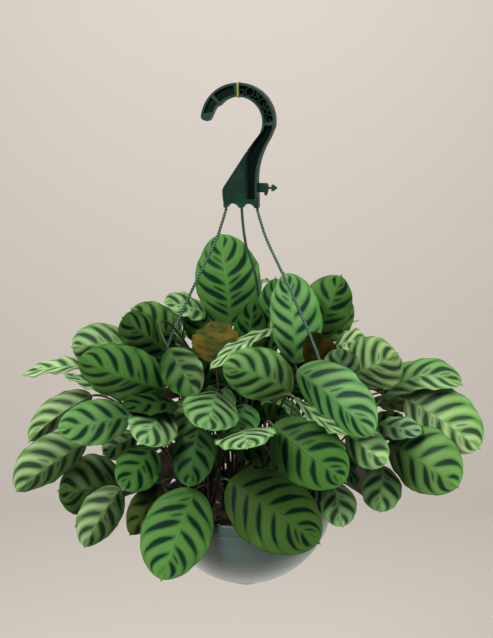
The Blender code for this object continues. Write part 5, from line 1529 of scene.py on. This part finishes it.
def hook_outline():
    """The hook's outline in millimetres: up the outside, over the arc, back inside and down."""
    outer = arc(HOOK_OUTER_CENTRE, HOOK_OUTER_RADIUS, -8, 172, 72)
    tip = eased([(-44.0, 6.0), (-42.9, 3.4), (-40.2, 1.7), (-36.6, 0.8), (-34.4, 1.4), (-32.6, 4.0)], 15)
    inner = eased([(-30.4, 8.6), (-28.4, 13.0), (-25.6, 16.8)], 6)
    inner += arc((0, 0), HOOK_INNER_RADIUS, 140, -14, 60)
    neck = [(25.6, -12.4), (22.6, -16.4), (18.1, -22.0), (7.5, -36.9), (-17.6, -74.8), (-18.8, -78.4)]
    neck += [(-18.6, -84.0), (-17.3, -94.0)]
    legs = [(-17.3, -98.0)] + arc((-6.25, -101.0), 7.65, 157, 23, 20)
    legs += arc((12.45, -101.0), 7.65, 157, 23, 20) + [(23.5, -98.0)]
    back = [(23.4, -86.0), (22.6, -67.6), (23.4, -54.8), (26.1, -42.1), (30.9, -29.4), (37.2, -17.7)]
    return outer + tip + inner + neck + legs + eased(back, 28)


def plate(name, outline, depth, offset=0.0):
    """A flat outline in millimetres, extruded along Y about an offset, as a closed mesh."""
    curve = bpy.data.curves.new(name, "CURVE")
    curve.dimensions = "2D"
    curve.fill_mode = "BOTH"
    curve.extrude = depth * MM / 2
    spline = curve.splines.new("POLY")
    spline.points.add(len(outline) - 1)
    spline.use_cyclic_u = True
    for point, (across, up) in zip(spline.points, outline):
        point.co = (across * MM, up * MM, 0.0, 1.0)
    made = linked(name, curve)
    made.rotation_euler = (pi / 2, 0, 0)
    made.location = (0, offset * MM, 0)
    made = as_mesh(made)
    bpy.ops.object.transform_apply()
    merge_points(made, PLATE_MERGE_DISTANCE)
    return made


def round_cutter(angle, radius, reach, depth, offset):
    """A drum along Y that cuts one round pocket of the arc."""
    clear_selection()
    x = reach * cos(radians(angle))
    z = reach * sin(radians(angle))
    bpy.ops.mesh.primitive_cylinder_add(vertices=28, radius=radius * MM, depth=depth * MM,
                                        location=(x * MM, offset * MM, z * MM), rotation=(pi / 2, 0, 0))
    bpy.ops.object.transform_apply()
    return bpy.context.active_object


def hook_recesses():
    """How far each channel's foot lies above the web, in millimetres, and its outline."""
    outer = HOOK_OUTER_RADIUS - HOOK_EDGE
    inner = HOOK_INNER_RADIUS + HOOK_EDGE
    near_tip = arc(HOOK_OUTER_CENTRE, outer, 139, 168, 12) + arc((0, 0), inner + 1.0, 160, 139, 9)
    arc_left = arc(HOOK_OUTER_CENTRE, outer, 96, 133, 16) + arc((0, 0), inner, 133, 96, 14)
    neck_out = [(20.0, -88.0), (20.0, -67.6), (20.9, -55.0), (23.6, -43.0), (28.4, -30.4), (34.5, -19.0)]
    neck = eased(neck_out, 25) + arc(HOOK_OUTER_CENTRE, outer, -14, -6, 4) + arc((0, 0), inner, -6, -16, 4)
    pockets = arc(HOOK_OUTER_CENTRE, outer, -1, 87, 50) + arc((0, 0), inner, 87, -1, 44)
    found = [(1.6, near_tip), (1.2, arc_left), (0.0, pockets)]
    for up, shift in HOOK_STEPS:
        neck_in = [(20.8 - shift * 0.2, -22.0), (13.6 - shift * 0.6, -36.0), (12.2 - shift, -50.0),
                   (13.4 - shift, -88.0)]
        found.append((up, neck + eased(neck_in, 20)))
    lip = [(19.6, -23.4), (8.9, -37.5), (-15.9, -75.4), (-17.2, -79.0), (-16.9, -84.0), (-15.8, -93.0)]
    lip += arc((-6.25, -101.0), 9.0, 144, 57, 12) + arc((12.45, -101.0), 9.0, 123, 60, 10) + [(19.6, -88.0)]
    found.append((HOOK_LIP, lip))
    return found


def boolean(thing, others, operation):
    """Cuts or joins other objects into a piece, one after another, and removes them."""
    for other in others:
        modifier = thing.modifiers.new(operation.title(), "BOOLEAN")
        modifier.operation = operation
        modifier.solver = "EXACT"
        modifier.object = other
        apply_all(thing)
        bpy.data.objects.remove(other)


def hook_finish(settings):
    """Dark green moulded plastic with a soft sheen and scuffed roughness, painted light on its raised edges
    and painted shade in its channels and pockets.
    """
    finish = Finish("hook plastic", settings.roughness)
    place = finish.place()
    mottle = finish.noise(place, 60.0, 3.0)
    face = finish.mix(finish.smooth(mottle, 0.3, 0.75), settings.colour, settings.light)
    depth, _, _ = finish.attribute("hollow")
    # Painted shade: darker deep in the channels and pockets.
    face = finish.mix(finish.smooth(depth, 0.1, 0.9), face, settings.hollow)
    # Painted light: lighter on the raised faces and edges.
    face = finish.mix(finish.smooth(depth, 0.02, 0.13, 0.75, 0.0), face, settings.lit_edge)
    finish.set("Base Color", face)
    scuffs = finish.noise(place, 300.0, 2.0)
    low, high = settings.roughness - 0.08, settings.roughness + 0.1
    finish.set("Roughness", finish.smooth(scuffs, 0.2, 0.8, low, high))
    # Painted shade: the hollows also reflect less.
    finish.set("Specular IOR Level", finish.smooth(depth, 0.0, 0.9, 0.28, 0.05))
    finish.bump(finish.noise(place, 1400.0, 2.0), 0.05 * MM, 0.5)
    return finish.material


def pocket_rings(thickness):
    """The ridges round the pockets of the arc, a little lower than its edges."""
    rings = []
    for angle, radius, reach in HOOK_POCKETS:
        ring = round_cutter(angle, radius + POCKET_RIDGE, reach, thickness - 1.2, 0.0)
        boolean(ring, [round_cutter(angle, radius, reach, thickness + 2, 0.0)], "DIFFERENCE")
        rings.append(ring)
    return rings


def mark_hollows(hook, thickness):
    """Gives each point of the hook the share of how deep it lies between face and web, which the finish turns
    into painted shade in the hollows and painted light on the raised edges.
    """
    deep = HOOK_WEB / 2
    span = thickness * MM / 2 - deep
    shares = []
    for vertex in hook.data.vertices:
        share = 1.0 - (abs(vertex.co.y) - deep) / span
        on_clip = vertex.co.x > SIDE_CLIP[0] * MM and vertex.co.z < SIDE_CLIP[1] * MM
        shares.append(0.0 if on_clip else min(1.0, max(0.0, share)))
    attribute = hook.data.attributes.new("hollow", "FLOAT_VECTOR", "POINT")
    attribute.data.foreach_set("vector", [value for share in shares for value in (share, 0.0, 0.0)])


def clip_pieces():
    """The clip that stands out of the plate's right edge: block, tooth, pin and arrow head."""
    block = [(21.0, -79.8), (33.6, -79.8), (34.4, -78.6), (34.4, -71.2), (32.8, -69.4), (21.0, -69.4)]
    tooth = [(30.6, -83.4), (33.0, -83.4), (34.4, -78.6), (30.0, -78.6)]
    pin = [(33.0, -76.0), (40.0, -76.0), (40.0, -73.6), (33.0, -73.6)]
    arrow = [(38.6, -78.6), (41.0, -78.4), (45.6, -74.8), (41.0, -71.0), (38.6, -71.0)]
    parts = [("clip_block", block, 7), ("clip_tooth", tooth, 4)]
    parts += [("clip_pin", pin, 2.4), ("clip_arrow", arrow, 3)]
    return [plate(name, outline, depth) for name, outline, depth in parts]


def make_hook(settings):
    """The hook: channels with a thin web between raised edges, pockets along its arc, and the side clip."""
    thickness = HOOK_THICKNESS / MM
    hook = plate("plastic_hook", hook_outline(), thickness)
    web = HOOK_WEB / MM
    pocket_web = POCKET_WEB / MM
    cutters = []
    for side in (-1, 1):
        for up, outline in hook_recesses():
            depth = (thickness - web) / 2 - up + 1
            cutters.append(plate("recess", outline, depth, side * (thickness / 2 + 1 - depth / 2)))
        depth = (thickness - pocket_web) / 2 + 1
        offset = side * (pocket_web + depth) / 2
        cutters += [round_cutter(*pocket, depth, offset) for pocket in HOOK_POCKETS]
    boolean(hook, cutters, "DIFFERENCE")
    boolean(hook, pocket_rings(thickness) + clip_pieces(), "UNION")
    soften(hook, settings.edge, 35)
    mark_hollows(hook, thickness)
    give(hook, hook_finish(settings))
    hook.matrix_world = hook_place()
    hand_over(hook, "hook", "hanger_hook", 32)


def hook_place():
    """Where the hook's own plane lies in the pot's frame."""
    return Matrix.Translation(HOOK_CENTRE) @ Euler((0, 0, HOOK_YAW)).to_matrix().to_4x4()


def frames_along(route):
    """Points along a route with two directions square to it, carried on without twist."""
    made = []
    side = None
    for i, point in enumerate(route):
        ahead = (route[min(i + 1, len(route) - 1)] - route[max(i - 1, 0)]).normalized()
        if side is None:
            side = ahead.cross(Vector((0, 1, 0.2))).normalized()
        side = (side - ahead * side.dot(ahead)).normalized()
        made.append((point, side, ahead.cross(side)))
    return made


def evenly(route, gap):
    """A route's points, spaced evenly."""
    lengths = [0.0]
    for a, b in zip(route, route[1:]):
        lengths.append(lengths[-1] + (b - a).length)
    count = max(2, round(lengths[-1] / gap))
    points = []
    j = 0
    for i in range(count + 1):
        along = lengths[-1] * i / count
        while j < len(route) - 2 and lengths[j + 1] < along:
            j += 1
        t = (along - lengths[j]) / max(lengths[j + 1] - lengths[j], 1e-9)
        points.append(route[j].lerp(route[j + 1], t))
    return points, lengths[-1] / count


def rope_mesh(name, route, radius, pitch, sides, gap):
    """A twisted cord along a route: a two-lobed section that turns as it goes, with closed ends."""
    points, step = evenly(route, gap)
    work = bmesh.new()
    # Each point keeps its lobe share, which the strand's finish uses for a painted highlight.
    twist_highlight = work.verts.layers.float_vector.new("twist_highlight")
    rings = []
    for i, (point, side, up) in enumerate(frames_along(points)):
        ring = []
        for k in range(sides):
            angle = tau * k / sides
            lobe = abs(cos(angle))
            reach = radius * (0.5 + 0.5 * lobe ** 0.7)
            turned = angle + tau * i * step / pitch
            out = side * cos(turned) + up * sin(turned)
            vertex = work.verts.new(point + out * reach)
            vertex[twist_highlight] = Vector((lobe, 0.0, 0.0))
            ring.append(vertex)
        rings.append(ring)
    for low, high in zip(rings, rings[1:]):
        for k in range(sides):
            j = (k + 1) % sides
            work.faces.new((low[k], low[j], high[j], high[k]))
    work.faces.new(list(reversed(rings[0])))
    work.faces.new(rings[-1])
    bmesh.ops.recalc_face_normals(work, faces=work.faces)
    return linked(name, mesh_from(work, name))


def strand_finish(settings):
    finish = Finish("strand plastic", settings.roughness)
    place = finish.place()
    mottle = finish.noise(place, 160.0, 2.0)
    face = finish.mix(finish.smooth(mottle, 0.3, 0.75), settings.colour, settings.light)
    # Painted highlight on the backs of the twist.
    twist_highlight, _, _ = finish.attribute("twist_highlight")
    face = finish.mix(finish.smooth(twist_highlight, 0.8, 1.0, 0.0, 0.85), face, settings.twist_highlight)
    finish.set("Base Color", face)
    finish.set("Specular IOR Level", 0.7)
    finish.bump(finish.noise(place, 2000.0, 2.0), 0.04 * MM, 0.5)
    return finish.material


def rim_clip(azimuth):
    """The clip that straddles the pot's rim, with softened edges."""
    gap = 2 * SEAT_GAP / MM
    inner = (POT_RADIUS - POT_WALL) / MM - CLIP_INNER_GAP
    outer = (POT_RADIUS + RIM_BAND_STEP) / MM + gap
    foot = -RIM_BAND_HEIGHT / MM - 2.0
    outline = [(inner - CLIP_WALL, -CLIP_INNER_LEG), (inner, -CLIP_INNER_LEG), (inner, gap), (outer, gap),
               (outer, foot), (outer + CLIP_BLOCK, foot), (outer + CLIP_BLOCK, CLIP_TOP),
               (outer - 1.4, CLIP_TOP), (outer - 1.4, CLIP_BRIDGE), (inner - CLIP_WALL, CLIP_BRIDGE)]
    clip = plate("rim_clip", outline, CLIP_WIDTH / MM)
    soften(clip, 0.5 * MM, 30)
    clip.data.transform(Euler((0, 0, radians(azimuth))).to_matrix().to_4x4())
    return clip


def make_strand(name, material, settings):
    """One twisted strand with its lug at the plate and its clip on the rim."""
    route = strand_route(name)
    fine = [route[0]] + smooth_route(route[1:], 160)
    rope = rope_mesh("rope", fine, ROPE_RADIUS, settings.pitch, 14, 0.62 * MM)
    strand = join_all([rope, rim_clip(RIM_AZIMUTHS[name])], f"rope_{name}")
    give(strand, material)
    hand_over(strand, "strand", f"strand_{name}", 50)


def make_strands(settings):
    material = strand_finish(settings)
    for name in RIM_AZIMUTHS:
        make_strand(name, material, settings)


def thread_finish(settings):
    finish = Finish("yellow thread", 0.7)
    fibres = finish.noise(finish.place(), 2500.0, 2.0)
    finish.set("Base Color", finish.mix(finish.smooth(fibres, 0.3, 0.7), settings.colour, settings.shade))
    finish.bump(fibres, 0.05 * MM, 0.6)
    return finish.material


def make_tie(settings):
    """The thread round the arc: two close turns with rounded corners, and a short tail."""
    off = TIE_RADIUS + SEAT_GAP
    low = HOOK_INNER_RADIUS * MM - off
    high = (HOOK_OUTER_RADIUS + HOOK_OUTER_CENTRE[1]) * MM + off
    half = HOOK_THICKNESS / 2 + off
    middle, tall = (low + high) / 2, (high - low) / 2
    turns = []
    for k in range(2):
        loop = []
        for i in range(49):
            angle = tau * i / 48
            # A rounded square: both shares are raised to a small power.
            out = copysign(abs(cos(angle)) ** 0.35, cos(angle)) * half
            up = copysign(abs(sin(angle)) ** 0.35, sin(angle)) * tall
            loop.append(Vector(((k - 0.5) * 0.9 * MM + 0.9 * MM * (i / 48 - 0.5), out, middle + up)))
        turns += loop
    tail_start = turns[-1]
    turns += [tail_start + Vector((0.8, 0.3, -1.5)) * MM, tail_start + Vector((1.4, 0.2, -3.2)) * MM]
    tie = rope_mesh("yellow_tie", turns, TIE_RADIUS, TIE_TWIST, 8, 0.6 * MM)
    tie.matrix_world = hook_place()
    give(tie, thread_finish(settings))
    only(tie)
    bpy.ops.object.shade_smooth()
    into_frame(tie)
    settle(tie, "tie", "hook_tie")


def backdrop_finish(settings):
    finish = Finish("studio paper", 0.9)
    grain = finish.noise(finish.place(), 3.0, 2.0)
    finish.set("Base Color", finish.mix(finish.times(grain, 0.05), settings.backdrop, (0.6, 0.55, 0.5)))
    finish.set("Specular IOR Level", 0.1)
    return finish.material


def select_edges(thing, wanted):
    """In edit mode, selects the edges whose two ends are wanted."""
    work = bmesh.from_edit_mesh(thing.data)
    for edge in work.edges:
        edge.select_set(all(wanted(vertex.co) for vertex in edge.verts))
    work.select_flush_mode()
    bmesh.update_edit_mesh(thing.data)


def make_backdrop(settings):
    """A pale floor that sweeps up into a wall behind."""
    clear_selection()
    bpy.ops.mesh.primitive_plane_add(size=PAPER_SIZE, location=(0, PAPER_SHIFT, FLOOR_HEIGHT))
    sweep = bpy.context.active_object
    sweep.name = "studio_sweep"
    bpy.ops.object.transform_apply()
    bpy.ops.object.mode_set(mode="EDIT")
    select_edges(sweep, lambda place: place.y > PAPER_TURN)
    bpy.ops.mesh.extrude_region_move(TRANSFORM_OT_translate={"value": (0, 0, PAPER_HEIGHT)})
    select_edges(sweep, lambda place: place.y > PAPER_TURN and place.z < FLOOR_HEIGHT + 0.1)
    bpy.ops.mesh.bevel(offset=PAPER_ROUND, segments=24, affect="EDGES")
    bpy.ops.mesh.select_all(action="SELECT")
    bpy.ops.object.mode_set(mode="OBJECT")
    bpy.ops.object.shade_smooth()
    give(sweep, backdrop_finish(settings))


def make_light(name, place, aim, size, power, colour):
    """A soft square light that faces its aim."""
    clear_selection()
    bpy.ops.object.light_add(type="AREA", location=place)
    light = bpy.context.active_object
    light.name = name
    light.data.shape = "SQUARE"
    light.data.size = size
    light.data.energy = power
    light.data.color = colour
    light.rotation_euler = (Vector(aim) - Vector(place)).to_track_quat("-Z", "Y").to_euler()


def make_lights(settings):
    powers = (settings.key_power, settings.fill_power, settings.top_power, settings.wall_power)
    for (name, place, aim, size, colour), power in zip(LIGHTS, powers):
        make_light(name, place, aim, size, power, colour)
    world = bpy.data.worlds.new("studio air")
    world.use_nodes = True
    background = world.node_tree.nodes["Background"]
    background.inputs["Color"].default_value = (0.95, 0.97, 1.0, 1.0)
    background.inputs["Strength"].default_value = settings.air
    bpy.context.scene.world = world


def make_camera():
    """The photo's viewpoint: in front of the pot and a little above it."""
    bpy.context.scene.view_settings.view_transform = "Standard"
    clear_selection()
    bpy.ops.object.camera_add(location=RIM_CENTRE + VIEWER, rotation=(pi / 2 - VIEW_PITCH, 0, 0))
    camera = bpy.context.active_object
    camera.data.lens = CAMERA_LENS
    camera.data.sensor_width = CAMERA_SENSOR
    camera.data.clip_end = 50
    bpy.context.scene.camera = camera


def colour_prop(name, description, default):
    return bpy.props.FloatVectorProperty(name=name, description=description, subtype="COLOR", size=3,
                                         min=0.0, max=1.0, default=default)


def length_prop(name, description, default):
    return bpy.props.FloatProperty(name=name, description=description, subtype="DISTANCE", unit="LENGTH",
                                   default=default, min=0.0, precision=5)


def share_prop(name, description, default):
    return bpy.props.FloatProperty(name=name, description=description, subtype="FACTOR", min=0.0, max=1.0,
                                   default=default)


def power_prop(name, description, default):
    return bpy.props.FloatProperty(name=name, description=description, unit="POWER", min=0.0, default=default)


class LeafSettings(bpy.types.PropertyGroup):
    """Colours of the leaves and stems."""

    # The lamina's lighter middle between the bars is partly painted light on the quilted bulges.
    lamina: colour_prop("Lamina", "Light green between the dark bars", (0.105, 0.29, 0.052))
    lamina_deep: colour_prop("Lamina by the bars", "Deeper green next to the dark bars", (0.066, 0.22, 0.038))
    halo: colour_prop("Halo", "Green that fades out round each bar", (0.022, 0.1, 0.027))
    bar_edge: colour_prop("Bar edge", "Outer colour of the dark bars", (0.01, 0.055, 0.022))
    bar_core: colour_prop("Bar core", "Middle colour of the dark bars", (0.004, 0.02, 0.012))
    midrib: colour_prop("Midrib", "Fresh green of the midrib", (0.11, 0.33, 0.05))
    margin: colour_prop("Margin", "Thin dark edge of a leaf", (0.03, 0.09, 0.025))
    olive: colour_prop("Olive", "What warm leaves turn towards", (0.12, 0.17, 0.025))
    blue_green: colour_prop("Blue-green", "What cool leaves turn towards", (0.06, 0.22, 0.13))
    # The pale colour is a painted highlight, light on the bulges between the bars.
    pale: colour_prop("Pale", "What pale leaves turn towards", (0.54, 0.68, 0.36))
    dry_dark: colour_prop("Dry bars", "Bars of a dying leaf", (0.012, 0.016, 0.004))
    dry_light: colour_prop("Dry", "Ochre of a dying leaf", (0.14, 0.105, 0.01))
    dry_patch: colour_prop("Dry, olive", "Olive patches of a dying leaf", (0.045, 0.062, 0.01))
    under: colour_prop("Underside", "Wine red of the underside", (0.05, 0.022, 0.02))
    under_deep: colour_prop("Underside, deep", "Darker red under the bars", (0.024, 0.011, 0.012))
    stem: colour_prop("Stem", "Green of the petioles", (0.09, 0.13, 0.035))
    stem_red: colour_prop("Stem, red", "Reddish patches of the petioles", (0.12, 0.07, 0.04))
    stem_dark: colour_prop("Stem, dark", "Grooves of the petioles", (0.022, 0.03, 0.01))


class PotSettings(bpy.types.PropertyGroup):
    """Sizes and colours of the bowl."""

    rib_depth: length_prop("Rib depth", "Depth of the fine ribs round the bowl", 0.00004)
    roughness: share_prop("Roughness", "Roughness of the plastic", 0.42)
    sheen: share_prop("Sheen", "Light that the milky wall shows at its edges", 1.0)
    wall: colour_prop("Wall", "Bowl with the soil behind it", (0.03, 0.07, 0.059))
    wall_cloud: colour_prop("Wall, cloudy", "Milkier patches of the bowl", (0.056, 0.118, 0.106))
    # The foot colour is painted light: the glow through the milky wall at its lower edge.
    foot: colour_prop("Foot", "Lavender white of the lower edge", (0.52, 0.7, 0.76))


class SoilSettings(bpy.types.PropertyGroup):
    """Colours of the potting mix."""

    dark: colour_prop("Dark", "Moist peat", (0.012, 0.009, 0.006))
    light: colour_prop("Light", "Drier crumbs", (0.07, 0.045, 0.025))


class HookSettings(bpy.types.PropertyGroup):
    """Finish of the hook."""

    edge: length_prop("Edge radius", "Radius of the moulded edges", 0.00045)
    roughness: share_prop("Roughness", "Roughness of the plastic", 0.4)
    colour: colour_prop("Colour", "Dark green of the hook", (0.004, 0.023, 0.014))
    light: colour_prop("Light", "Lighter clouds in the plastic", (0.007, 0.036, 0.023))
    # This colour is painted light on the raised edges.
    lit_edge: colour_prop("Border", "Worn raised edges", (0.009, 0.046, 0.031))
    # The hollow colour is painted shade at the foot of the channels and pockets.
    hollow: colour_prop("Hollow", "Foot of the channels and pockets", (0.0012, 0.006, 0.004))


class StrandSettings(bpy.types.PropertyGroup):
    """Twist and finish of the three strands."""

    pitch: length_prop("Twist", "Length of one full turn of the twist", 0.0072)
    roughness: share_prop("Roughness", "Roughness of the plastic", 0.36)
    colour: colour_prop("Colour", "Dark green of the strands", (0.004, 0.025, 0.018))
    light: colour_prop("Light", "Lighter clouds in the plastic", (0.01, 0.055, 0.04))
    # This colour is a painted highlight on the backs of the twist.
    twist_highlight: colour_prop("Ridge", "Paler backs of the twist", (0.09, 0.25, 0.2))


class TieSettings(bpy.types.PropertyGroup):
    """Colours of the thread round the hook."""

    colour: colour_prop("Colour", "Yellow of the thread", (0.72, 0.7, 0.08))
    shade: colour_prop("Shade", "Darker fibres", (0.45, 0.42, 0.05))


class StageSettings(bpy.types.PropertyGroup):
    """Backdrop and lights."""

    backdrop: colour_prop("Backdrop", "Warm grey of the paper", (0.83, 0.765, 0.695))
    key_power: power_prop("Key light", "Power of the light at the front left", 74.0)
    fill_power: power_prop("Fill light", "Power of the light at the front right", 20.0)
    top_power: power_prop("Top light", "Power of the light above", 18.0)
    wall_power: power_prop("Wall light", "Power of the light on the paper behind", 32.0)
    air: bpy.props.FloatProperty(name="Air", description="Strength of the light all round", min=0.0,
                                 default=0.1)


GROUPS = {
    "plant_leaves": LeafSettings, "plant_pot": PotSettings, "plant_soil": SoilSettings,
    "plant_hook": HookSettings, "plant_strands": StrandSettings, "plant_tie": TieSettings,
    "plant_stage": StageSettings,
}


class PLANT_OT_pot(bpy.types.Operator):
    """Makes the round hanging bowl"""

    bl_idname = "hanging_plant.pot"
    bl_label = "Make Pot"

    def execute(self, context):
        make_pot(context.scene.plant_pot)
        return {"FINISHED"}


class PLANT_OT_soil(bpy.types.Operator):
    """Makes the soil with its bark and perlite"""

    bl_idname = "hanging_plant.soil"
    bl_label = "Make Soil"

    def execute(self, context):
        make_soil(context.scene.plant_soil)
        return {"FINISHED"}


class PLANT_OT_hook(bpy.types.Operator):
    """Makes the moulded hook"""

    bl_idname = "hanging_plant.hook"
    bl_label = "Make Hook"

    def execute(self, context):
        make_hook(context.scene.plant_hook)
        return {"FINISHED"}


class PLANT_OT_strands(bpy.types.Operator):
    """Makes the three twisted strands with their rim clips"""

    bl_idname = "hanging_plant.strands"
    bl_label = "Make Strands"

    def execute(self, context):
        make_strands(context.scene.plant_strands)
        return {"FINISHED"}


class PLANT_OT_tie(bpy.types.Operator):
    """Makes the thread tied round the hook"""

    bl_idname = "hanging_plant.tie"
    bl_label = "Make Thread"

    def execute(self, context):
        make_tie(context.scene.plant_tie)
        return {"FINISHED"}


class PLANT_OT_shoots(bpy.types.Operator):
    """Makes all the leafy shoots"""

    bl_idname = "hanging_plant.shoots"
    bl_label = "Make Shoots"

    def execute(self, context):
        make_shoots(context.scene.plant_leaves)
        return {"FINISHED"}


class PLANT_OT_stage(bpy.types.Operator):
    """Makes the backdrop, the lights and the camera"""

    bl_idname = "hanging_plant.stage"
    bl_label = "Make Stage"

    def execute(self, context):
        make_backdrop(context.scene.plant_stage)
        make_lights(context.scene.plant_stage)
        make_camera()
        return {"FINISHED"}


OPERATORS = (PLANT_OT_stage, PLANT_OT_pot, PLANT_OT_soil, PLANT_OT_hook, PLANT_OT_strands, PLANT_OT_tie,
             PLANT_OT_shoots)


class PLANT_PT_panel(bpy.types.Panel):
    """Lists the makers of the plant's pieces"""

    bl_idname = "PLANT_PT_panel"
    bl_label = "Hanging Plant"
    bl_space_type = "VIEW_3D"
    bl_region_type = "UI"
    bl_category = "Hanging Plant"

    def draw(self, context):
        for operator in OPERATORS:
            self.layout.operator(operator.bl_idname)
        for name in GROUPS:
            box = self.layout.box()
            settings = getattr(context.scene, name)
            for field in settings.__annotations__:
                box.prop(settings, field)


def register():
    for group in GROUPS.values():
        bpy.utils.register_class(group)
    for name, group in GROUPS.items():
        setattr(bpy.types.Scene, name, bpy.props.PointerProperty(type=group))
    for operator in OPERATORS:
        bpy.utils.register_class(operator)
    bpy.utils.register_class(PLANT_PT_panel)


def unregister():
    bpy.utils.unregister_class(PLANT_PT_panel)
    for operator in reversed(OPERATORS):
        bpy.utils.unregister_class(operator)
    for name in GROUPS:
        delattr(bpy.types.Scene, name)
    for group in reversed(GROUPS.values()):
        bpy.utils.unregister_class(group)


def main():
    """Makes every piece."""
    register()
    bpy.ops.hanging_plant.stage()
    bpy.ops.hanging_plant.pot()
    bpy.ops.hanging_plant.soil()
    bpy.ops.hanging_plant.hook()
    bpy.ops.hanging_plant.strands()
    bpy.ops.hanging_plant.tie()
    bpy.ops.hanging_plant.shoots()


if __name__ == "__main__":
    main()
